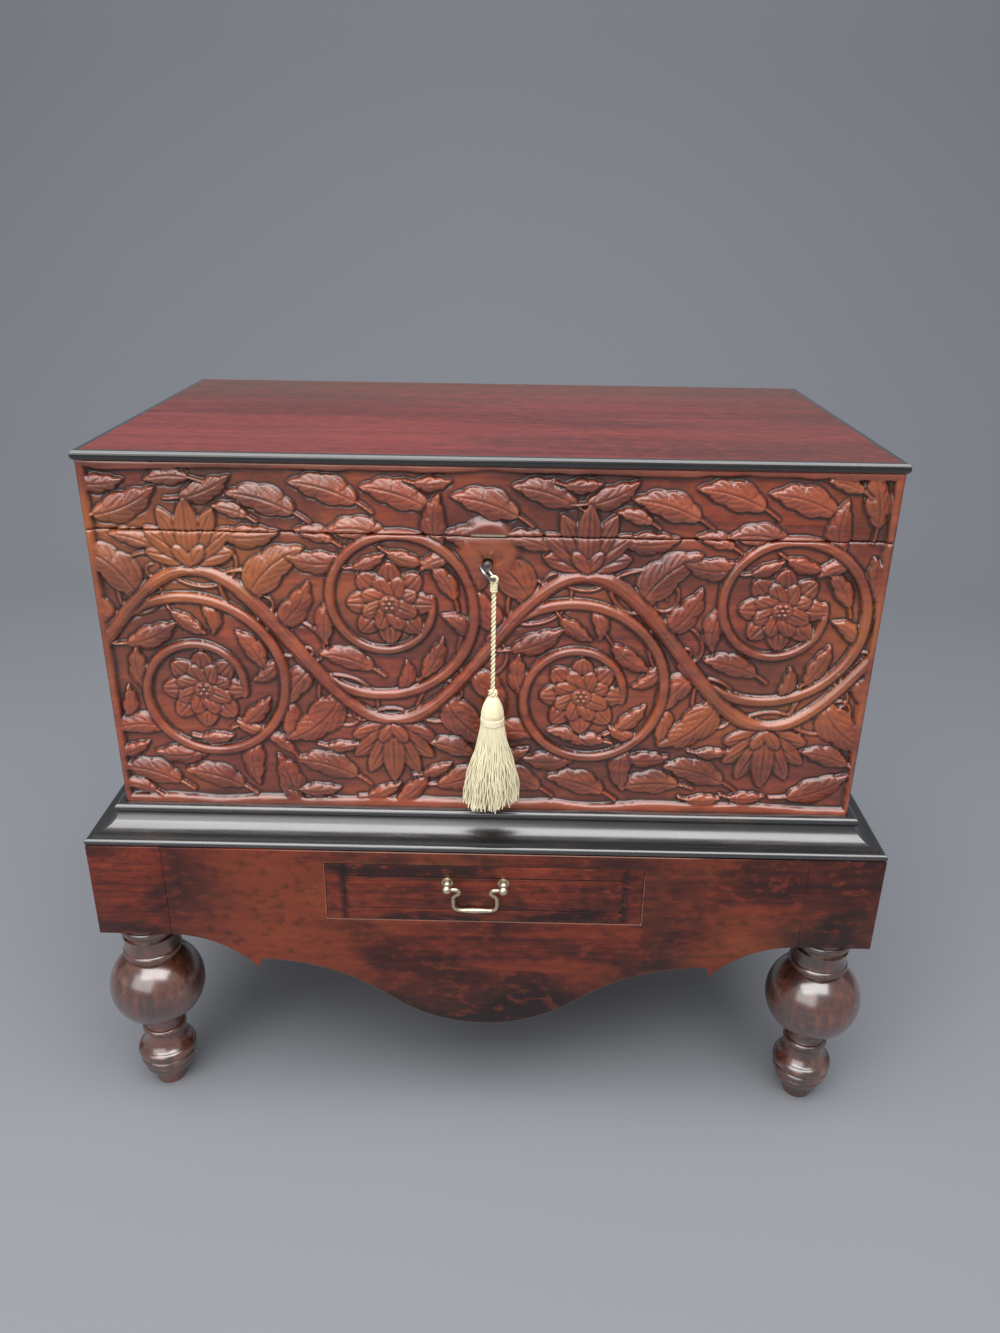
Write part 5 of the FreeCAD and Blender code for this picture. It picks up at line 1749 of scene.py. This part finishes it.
@dataclass
class CarvedFront:
    """The carved front of the box and of the lid: one design across both boards."""

    sink: float = 7.0
    slab: float = 0.0092
    box_pitch: float = 1.2
    lid_pitch: float = 1.0
    quick_pitch: float = 2.0
    most_triangles: int = 196000
    plate_rise: float = 0.002
    overrun: float = 0.01

    def build(self, finishes: Finishes) -> None:
        """Makes both carved boards.

        Args:
            finishes: the finishes.
        """
        boards = (("carved_box_front", "box_front", self.box_pitch, Body.CHEST),
                  ("carved_lid_front", "lid_front_rail", self.lid_pitch, Body.LID))
        box_low, box_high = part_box("box_front")
        base = box_low.z
        half = box_high.x / MM
        height = (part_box("lid_front_rail")[1].z - base) / MM
        foot = (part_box("moulding_front")[1].z - base) / MM
        vine = VineScroll(half, height, foot)
        margin = FrontMargin(half, height, foot, Keyhole.of_liner(base))
        forms = vine.forms()
        log.info("carving: %d forms", len(forms))
        for name, node, pitch, body in boards:
            low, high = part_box(node)
            coarse = 1.0
            canvas = Canvas(-half, half, (low.z - base) / MM, (high.z - base) / MM, pitch * coarse)
            vine.paint(canvas, forms)
            margin.cut(canvas, vine.unevenness)
            back = low.y + self.slab
            relief = Relief(canvas, low.y, base, back, self.sink)
            piece = relief.build(name, finishes.carved, self.most_triangles)
            if body is Body.LID:
                self.let_in_plate(piece)
            seat(piece, body, "carved_wood")
            self.core(node, back, body, finishes)

    def let_in_plate(self, piece: Object) -> None:
        """Cuts the seat of the lock's link plate in the carved slab of the lid.

        Args:
            piece: the slab.
        """
        low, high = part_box("lock_link_plate")
        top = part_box("lid_front_rail")[0].z + self.plate_rise
        front, foot = low.y - self.overrun, top - self.overrun
        corners = [(x, y, z) for x in (low.x, high.x) for y in (front, high.y) for z in (foot, top)]
        faces = [(0, 1, 3, 2), (4, 6, 7, 5), (0, 4, 5, 1), (2, 3, 7, 6), (0, 2, 6, 4), (1, 5, 7, 3)]
        cutter = plain_mesh("plate_cutter", corners, faces, piece.data.materials[0], smooth=False)
        cut = piece.modifiers.new("seat", "BOOLEAN")
        cut.operation = "DIFFERENCE"
        cut.solver = "EXACT"
        cut.object = cutter
        settled(piece)
        bpy.data.objects.remove(cutter)

    def core(self, node: str, front: float, body: Body, finishes: Finishes) -> None:
        """The board behind the carving, cut off flat behind the slab.

        Args:
            node: the solid's name.
            front: the Y of its front.
            body: the body that it moves with.
            finishes: the finishes.
        """
        piece = Board(node, node + "_core", finishes.case).plain()
        work = bmesh.new()
        work.from_mesh(piece.data)
        parts = work.verts[:] + work.edges[:] + work.faces[:]
        cut = bmesh.ops.bisect_plane(work, geom=parts, plane_co=(0, front, 0), plane_no=(0, -1, 0),
                                     clear_outer=True)
        rim = [edge for edge in cut["geom_cut"] if isinstance(edge, bmesh.types.BMEdge)]
        bmesh.ops.triangle_fill(work, edges=rim, use_beauty=True, use_dissolve=False)
        bmesh.ops.recalc_face_normals(work, faces=work.faces)
        work.to_mesh(piece.data)
        work.free()
        seat(piece, body, "carved_wood", node)


class ThreadWork:
    """Sweeps threads along guide lines with geometry nodes."""

    def __init__(self) -> None:
        """Builds the tree: guide lines in, round threads out."""
        self.tree = bpy.data.node_groups.new("threads", "GeometryNodeTree")
        face = self.tree.interface
        face.new_socket("Guides", in_out="INPUT", socket_type="NodeSocketGeometry")
        self.radius = face.new_socket("Thread radius", in_out="INPUT", socket_type="NodeSocketFloat")
        self.sides = face.new_socket("Sides", in_out="INPUT", socket_type="NodeSocketInt")
        self.finish = face.new_socket("Finish", in_out="INPUT", socket_type="NodeSocketMaterial")
        face.new_socket("Threads", in_out="OUTPUT", socket_type="NodeSocketGeometry")
        pad = Pad(self.tree)
        given = pad.add("NodeGroupInput").outputs
        curve = pad.add("GeometryNodeMeshToCurve", {"Mesh": given["Guides"]}).outputs["Curve"]
        curve = self.stored(pad, curve, "along", "Length")
        inputs = {"Resolution": given["Sides"], "Radius": given["Thread radius"]}
        circle = pad.add("GeometryNodeCurvePrimitiveCircle", inputs).outputs["Curve"]
        circle = self.stored(pad, circle, "around", "Factor")
        inputs = {"Curve": curve, "Profile Curve": circle, "Fill Caps": True}
        swept = pad.add("GeometryNodeCurveToMesh", inputs).outputs["Mesh"]
        smooth = pad.add("GeometryNodeSetShadeSmooth", {"Geometry": swept}).outputs["Geometry"]
        real = pad.add("GeometryNodeRealizeInstances", {"Geometry": smooth}).outputs["Geometry"]
        inputs = {"Geometry": real, "Material": given["Finish"]}
        done = pad.add("GeometryNodeSetMaterial", inputs).outputs["Geometry"]
        pad.add("NodeGroupOutput", {"Threads": done})

    def stored(self, pad: Pad, curve: Socket, name: str, measure: str) -> Socket:
        """Stores how far along a curve each of its points lies.

        Args:
            pad: the tree.
            curve: the curve.
            name: the attribute's name.
            measure: Length in metres, or Factor from 0 to 1.

        Returns:
            The curve with the attribute.
        """
        value = pad.add("GeometryNodeSplineParameter").outputs[measure]
        inputs = {"Geometry": curve, "Name": name, "Value": value}
        return pad.add("GeometryNodeStoreNamedAttribute", inputs, data_type="FLOAT").outputs["Geometry"]

    def sweep(self, name: str, guides: list[Array], radius: float, sides: int, material: Material,
              shades: Array) -> Object:
        """Makes one piece of many threads.

        Args:
            name: the piece's name.
            guides: the points of each thread's middle line, in metres.
            radius: radius of the threads.
            sides: sides of a thread's section.
            material: the finish.
            shades: how deep each thread's colour is, from 0 to 1.

        Returns:
            The piece.
        """
        ends = np.cumsum([0] + [len(guide) for guide in guides])
        edges = [(i, i + 1) for a, b in zip(ends, ends[1:]) for i in range(a, b - 1)]
        mesh = bpy.data.meshes.new(name)
        mesh.from_pydata([tuple(map(float, point)) for guide in guides for point in guide], edges, [])
        piece = linked(name, mesh)
        store(piece, "shade", "POINT", np.repeat(shades, np.diff(ends)))
        work = piece.modifiers.new("threads", "NODES")
        work.node_group = self.tree
        work[self.radius.identifier] = radius
        work[self.sides.identifier] = sides
        work[self.finish.identifier] = material
        settled(piece)
        return piece


def coiled(axis: Array, radius: Array, angle: Array, level: Array) -> Array:
    """Points round an upright axis at those distances, angles in radians and heights."""
    return np.stack((axis[0] + radius * np.cos(angle), axis[1] + radius * np.sin(angle), level), axis=1)


@dataclass
class Tassel:
    """A tassel on a twisted cord, hung on the bow of the key.

    Flare holds shares of the drop, and the share of the hem's spread at each. Head jitter is in radians
    and metres. The painted shade fall is how dark the threads inside the skirt are painted, where shade
    falls, and how much that lessens outwards.
    """

    cord_diameter: float = 0.0055
    plies: int = 2
    ply_radius: float = 0.00135
    ply_pitch: float = 0.0105
    yarns: int = 3
    yarn_offset: float = 0.00066
    yarn_radius: float = 0.00074
    yarn_pitch: float = 0.0052
    yarn_sides: int = 6
    yarn_shades: Triple = (0.15, 0.35, 0.5)
    straight_diameters: int = 6
    route_steps: int = 90
    loop_radius: float = 0.0034
    loop_yarn_radius: float = 0.00078
    loop_points: int = 72
    loop_twists: int = 4
    loop_sides: int = 7
    wrap_radius: float = 0.0031
    wrap_gap: float = 0.0005
    wrap_length: float = 0.0085
    wrap_turns: int = 5
    wrap_points: int = 200
    coil_points: int = 260
    plain_shade: float = 0.3
    knot_drop: float = 0.004
    knot_radius: float = 0.0030
    knot_swell: float = 0.0014
    knot_turns: int = 3
    knot_lobes: int = 5
    tie_turns: int = 5
    tie_out: float = 0.0007
    tie_top: float = 0.0075
    tie_length: float = 0.0065
    tie_share: float = 0.95
    tie_thread_radius: float = 0.0009
    tie_sides: int = 7
    head_radius: float = 0.0118
    head_drop: float = 0.008
    head_threads: int = 62
    head_thread_radius: float = 0.00072
    head_sides: int = 6
    head_points: int = 22
    head_twist: float = 0.35
    head_jitter: Pair = (0.03, 0.0002)
    head_shades: Pair = (0.25, 0.75)
    crown_radius: float = 0.0034
    dome_end: float = 0.006
    dome_shoulder: float = 0.8
    waist_depth: float = 0.10
    waist_step: Pair = (0.78, 1.0)
    core_inset: float = 0.0003
    core_rings: int = 14
    core_sides: int = 32
    skirt_threads: int = 560
    skirt_thread_radius: float = 0.00058
    skirt_sides: int = 5
    skirt_points: int = 15
    skirt_start: float = 0.003
    skirt_share: float = 0.98
    skirt_shade: float = 0.5
    painted_shade_fall: Pair = (1.15, 0.6)
    locks: int = 7
    lock_turn: float = 0.16
    hem_lift: float = 0.075
    hem_ragged: float = 0.05
    hem_half: Pair = (0.0305, 0.0235)
    flare: tuple[tuple[float, ...], ...] = ((0.0, 0.23, 0.31, 0.46, 0.69, 0.85, 1.0),
                                            (0.0, 0.20, 0.29, 0.53, 0.87, 0.95, 1.04))
    golden_angle: float = 2.39996
    sway: float = 0.0012
    sway_waves: Pair = (2.0, 4.0)
    tail: float = 0.009

    def build(self, finishes: Finishes) -> None:
        """Makes the cord, the head and the skirt.

        Args:
            finishes: the finishes.
        """
        self.work = ThreadWork()
        self.thread = finishes.thread
        cord_low, cord_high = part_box("tassel_cord")
        head_low, head_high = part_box("tassel_head")
        self.axis = np.array((head_low + head_high) / 2)
        self.hook = Vector((*self.axis[:2], cord_high.z - self.loop_radius - self.ply_radius))
        self.cord_foot = cord_low.z
        self.head_top = head_high.z - self.head_drop
        self.head_foot = head_low.z
        self.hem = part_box("tassel_skirt")[0].z
        head = self.head()
        skirt = self.skirt()
        loop = self.loop()
        self.cord()

    def threads(self, name: str, guides: list[Array], radius: float, sides: int, shades: Array | None,
                *nodes: str) -> Object:
        """Sweeps a piece of threads and seats it on the tassel.

        Args:
            name: the piece's name.
            guides: the middle line of each thread.
            radius: radius of the threads.
            sides: sides of a thread's section.
            shades: how deep each thread's colour is, or None for a plain shade.
            *nodes: the solids that the piece replaces.

        Returns:
            The piece.
        """
        tones = np.full(len(guides), self.plain_shade) if shades is None else shades
        piece = self.work.sweep(name, guides, radius, sides, self.thread, tones)
        seat(piece, Body.TASSEL, "thread", *nodes)
        return piece

    def route(self) -> Array:
        """The cord's line, read from its smooth spline, on through the head to its tied end.

        Returns:
            The points from the key to the tied end.
        """
        x, y, _ = self.axis
        top, foot = self.hook.z - self.loop_radius, self.head_foot - self.tail
        near = top - self.straight_diameters * self.cord_diameter
        points = ((x, y, top), (x, y, near), (x, y, foot))
        curve = bpy.data.curves.new("cord_route", "CURVE")
        curve.dimensions = "3D"
        spline = curve.splines.new("NURBS")
        spline.points.add(len(points) - 1)
        for knot, point in zip(spline.points, points):
            knot.co = (*point, 1.0)
        spline.order_u = 3
        spline.use_endpoint_u = True
        spline.resolution_u = self.route_steps
        guide = linked("cord_route", curve)
        line = evaluated_mesh(guide)
        read = np.array([vertex.co for vertex in line.vertices])
        bpy.data.objects.remove(guide)
        bpy.data.meshes.remove(line)
        return read

    def twisted(self, line: Array) -> list[Array]:
        """Yarns twisted into plies, and plies into a cord, along a line.

        Args:
            line: the points of the middle line.

        Returns:
            The middle line of each yarn.
        """
        tangent = tangents(line)
        run = runs(line)
        side = np.cross(tangent, (0.0, 1.0, 0.0))
        side /= np.linalg.norm(side, axis=1)[:, None]
        ahead = np.cross(tangent, side)

        def out(angle: Array) -> Array:
            """Unit vectors across the line."""
            return np.cos(angle)[:, None] * side + np.sin(angle)[:, None] * ahead

        guides = []
        for ply in range(self.plies):
            middle = line + self.ply_radius * out(TURN * (run / self.ply_pitch + ply / self.plies))
            guides += [middle + self.yarn_offset * out(TURN * (yarn / self.yarns - run / self.yarn_pitch))
                       for yarn in range(self.yarns)]
        return guides

    def cord(self) -> None:
        """Makes the twisted cord.
        """
        line = self.route()
        shades = np.tile(self.yarn_shades, self.plies)
        piece = self.threads("tassel_cord_strands", self.twisted(line), self.yarn_radius,
                             self.yarn_sides, shades, "tassel_cord")

    def loop(self) -> Object:
        """The loop round the key's bow, and the wrapping under it.

        Returns:
            The piece.
        """
        turn = np.linspace(0.0, TURN, self.loop_points)
        out = np.stack((np.sin(turn), np.zeros_like(turn), -np.cos(turn)), axis=1)
        ring = np.array(self.hook) + self.loop_radius * out
        guides = []
        for yarn in range(self.yarns):
            lay = (TURN * yarn / self.yarns + self.loop_twists * turn)[:, None]
            guides.append(ring + self.yarn_offset * (np.cos(lay) * out + np.sin(lay) * np.array((0, 1, 0))))
        coil = np.linspace(0.0, 1.0, self.wrap_points)
        level = self.hook.z - self.loop_radius - self.wrap_gap - self.wrap_length * coil
        guides.append(coiled(self.axis, self.wrap_radius, TURN * self.wrap_turns * coil, level))
        return self.threads("tassel_cord_loop", guides, self.loop_yarn_radius, self.loop_sides, None)

    def head_profile(self, share: Array) -> tuple[Array, Array]:
        """The dome of the head from its crown to the tie.

        Args:
            share: how far down the dome, from 0 to 1.

        Returns:
            Radius and height at each share.
        """
        end = self.head_foot + self.dome_end
        swell = np.sin(math.pi / 2 * share ** self.dome_shoulder)
        radius = self.crown_radius + (self.head_radius - self.crown_radius) * swell
        waist = 1 - self.waist_depth * smooth_step(*self.waist_step, share)
        return radius * waist, self.head_top + (end - self.head_top) * share

    def head(self) -> list[Object]:
        """The knot, the threads over the dome and the tie at the waist.

        Returns:
            The pieces.
        """
        rng = np.random.default_rng(SEED)
        share = np.linspace(0.0, 1.0, self.head_points)
        stray, loose = self.head_jitter
        radius, level = self.head_profile(share)
        guides, shades = [], []
        for number in range(self.head_threads):
            angle = TURN * number / self.head_threads + self.head_twist * share
            angle = angle + stray * rng.standard_normal()
            guides.append(coiled(self.axis, radius + loose * rng.standard_normal(), angle, level))
            shades.append(rng.uniform(*self.head_shades))
        dome = self.work.sweep("tassel_head_threads", guides, self.head_thread_radius, self.head_sides,
                               self.thread, np.array(shades))
        core = self.core()
        seat(core, Body.TASSEL, "thread", "tassel_head")
        seat(dome, Body.TASSEL, "thread")
        return [core, dome, self.knot_and_tie()]

    def core(self) -> Object:
        """The closed body under the threads of the dome.

        Returns:
            The piece.
        """
        count, rings = self.core_sides, self.core_rings
        turn = np.linspace(0.0, TURN, count, endpoint=False)
        profile = zip(*self.head_profile(np.linspace(0.0, 1.0, rings)))
        points = [point for radius, level in profile
                  for point in coiled(self.axis, radius - self.core_inset, turn, np.full(count, level))]
        number = np.arange(rings * count).reshape(rings, count)
        following = np.roll(number, -1, axis=1)
        walls = np.stack((following[:-1], number[:-1], number[1:], following[1:]), axis=-1).reshape(-1, 4)
        faces = walls.tolist() + [number[0].tolist(), number[-1, ::-1].tolist()]
        return plain_mesh("tassel_head_core", points, faces, self.thread)

    def knot_and_tie(self) -> Object:
        """The knot over the head and the turns of the tie under it.

        Returns:
            The piece.
        """
        turn = np.linspace(0.0, TURN * self.knot_turns, self.coil_points)
        wind = turn * self.knot_lobes / self.knot_turns
        level = self.cord_foot - self.knot_drop + self.knot_radius * np.sin(wind)
        knot = coiled(self.axis, self.knot_radius + self.knot_swell * np.cos(wind), turn, level)
        coil = np.linspace(0.0, 1.0, self.coil_points)
        radius = self.head_radius * self.tie_share + self.tie_out
        level = self.head_foot + self.tie_top - self.tie_length * coil
        tie = coiled(self.axis, radius, TURN * self.tie_turns * coil, level)
        return self.threads("tassel_knot_and_tie", [knot, tie], self.tie_thread_radius,
                            self.tie_sides, None)

    def skirt(self) -> Object:
        """The loose threads of the skirt, flared and uneven at the hem.

        Returns:
            The piece.
        """
        rng = np.random.default_rng(SEED + 1)
        drop = np.linspace(0.0, 1.0, self.skirt_points)
        top = self.head_foot + self.skirt_start
        flare = np.interp(drop, *self.flare)
        waist = self.head_radius * self.skirt_share * (1 - flare)
        wide, deep = (waist + half * flare for half in self.hem_half)
        inner, fall = self.painted_shade_fall
        guides, shades = [], []
        for number in range(self.skirt_threads):
            ring = math.sqrt((number + 0.5) / self.skirt_threads)
            angle = self.golden_angle * number
            lock = angle + self.lock_turn * math.sin(self.locks * angle) * drop ** 2
            right = max(0.0, math.cos(angle))
            length = (top - self.hem) * (1 - self.hem_lift * right - rng.uniform(0.0, self.hem_ragged))
            wave = self.sway * drop * np.sin(TURN * (drop * rng.uniform(*self.sway_waves) + rng.random()))
            x = self.axis[0] + ring * wide * np.cos(lock) + wave
            y = self.axis[1] + ring * deep * np.sin(lock) + wave * rng.uniform(-1, 1)
            guides.append(np.stack((x, y, top - length * drop), axis=1))
            # painted shade: threads deeper inside the skirt are painted darker, on top of a random tone
            shades.append(rng.uniform(0.0, self.skirt_shade) * (inner - fall * ring))
        return self.threads("tassel_skirt_threads", guides, self.skirt_thread_radius, self.skirt_sides,
                            np.clip(shades, 0, 1), "tassel_skirt")


@dataclass
class Case:
    """The plain boards of the box and the lid, the hinges and the lock."""

    boards_x: tuple[str, ...] = ("box_back", "lid_back_rail")
    boards_y: tuple[str, ...] = ("box_left_side", "box_right_side", "lid_left_rail", "lid_right_rail")

    def build(self, finishes: Finishes) -> None:
        """Softens the boards and gives the fittings their finish.

        Args:
            finishes: the finishes.
        """
        for material, nodes in ((finishes.case, self.boards_x), (finishes.case_sides, self.boards_y)):
            for node in nodes:
                body = Body.LID if node.startswith("lid") else Body.CHEST
                seat(softened(node, material), body, "case_wood", node)
        coat_nodes(finishes.case, "box_bottom")
        coat_nodes(finishes.lid, "lid_top")
        coat_nodes(finishes.edging, "lid_edging_front", "lid_edging_left", "lid_edging_right")
        coat_nodes(finishes.brass, "hinge_left_box_leaf", "hinge_left_lid_leaf", "hinge_right_box_leaf",
                   "hinge_right_lid_leaf", "hinge_pins", "lock_case", "lock_link_plate")
        coat_nodes(finishes.tarnish, "keyhole_liner")
        coat_nodes(finishes.steel, "key", "lock_bolt", "lock_screws", "hinge_screws_box", "hinge_screws_lid")


@dataclass
class Stand:
    """The stand: mouldings, posts, apron and frieze boards, and the turned feet."""

    corners: tuple[str, ...] = ("front_left", "front_right", "back_left", "back_right")
    sides: tuple[str, ...] = ("front", "back", "left", "right")

    def build(self, finishes: Finishes) -> None:
        """Softens the boards and gives the rest its finish.

        Args:
            finishes: the finishes.
        """
        posts = [f"post_{corner}" for corner in self.corners]
        for material, nodes in ((finishes.posts, posts), (finishes.stand, ["apron_front"]),
                                (finishes.stand_back, ["frieze_back"]),
                                (finishes.stand_sides, ["frieze_left", "frieze_right"])):
            for node in nodes:
                seat(softened(node, material), Body.CHEST, "stand_wood", node)
        coat_nodes(finishes.ebony, *(f"moulding_{side}" for side in self.sides))
        coat_nodes(finishes.turned, *(f"foot_{corner}" for corner in self.corners))
        coat_nodes(finishes.inner, "stand_top")
        coat_nodes(finishes.inner_sides, "runner_left", "runner_right", "drawer_stops")


@dataclass
class Drawer:
    """The drawer and its swan-neck handle."""

    arris: float = 0.0010

    def build(self, finishes: Finishes) -> None:
        """Softens the front and gives the rest its finish.

        Args:
            finishes: the finishes.
        """
        front = softened("drawer_front", finishes.drawer, self.arris)
        seat(front, Body.DRAWER, "stand_wood", "drawer_front")
        coat_nodes(finishes.inner, "drawer_back", "drawer_bottom")
        coat_nodes(finishes.inner_sides, "drawer_left_side", "drawer_right_side")
        coat_nodes(finishes.brass, "handle_posts", "handle_nuts", "handle_bail")


def write_sizes() -> None:
    """Updates the scene's view layer."""
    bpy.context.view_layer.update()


def main() -> None:
    """Builds the scene in order."""
    logging.basicConfig(level=logging.INFO, format="%(name)s %(message)s")
    PhotoCamera().build()
    finishes = Finishes()
    Tassel().build(finishes)
    CarvedFront().build(finishes)
    Case().build(finishes)
    Stand().build(finishes)
    Drawer().build(finishes)
    Studio().build()
    write_sizes()


if __name__ == "__main__":
    main()
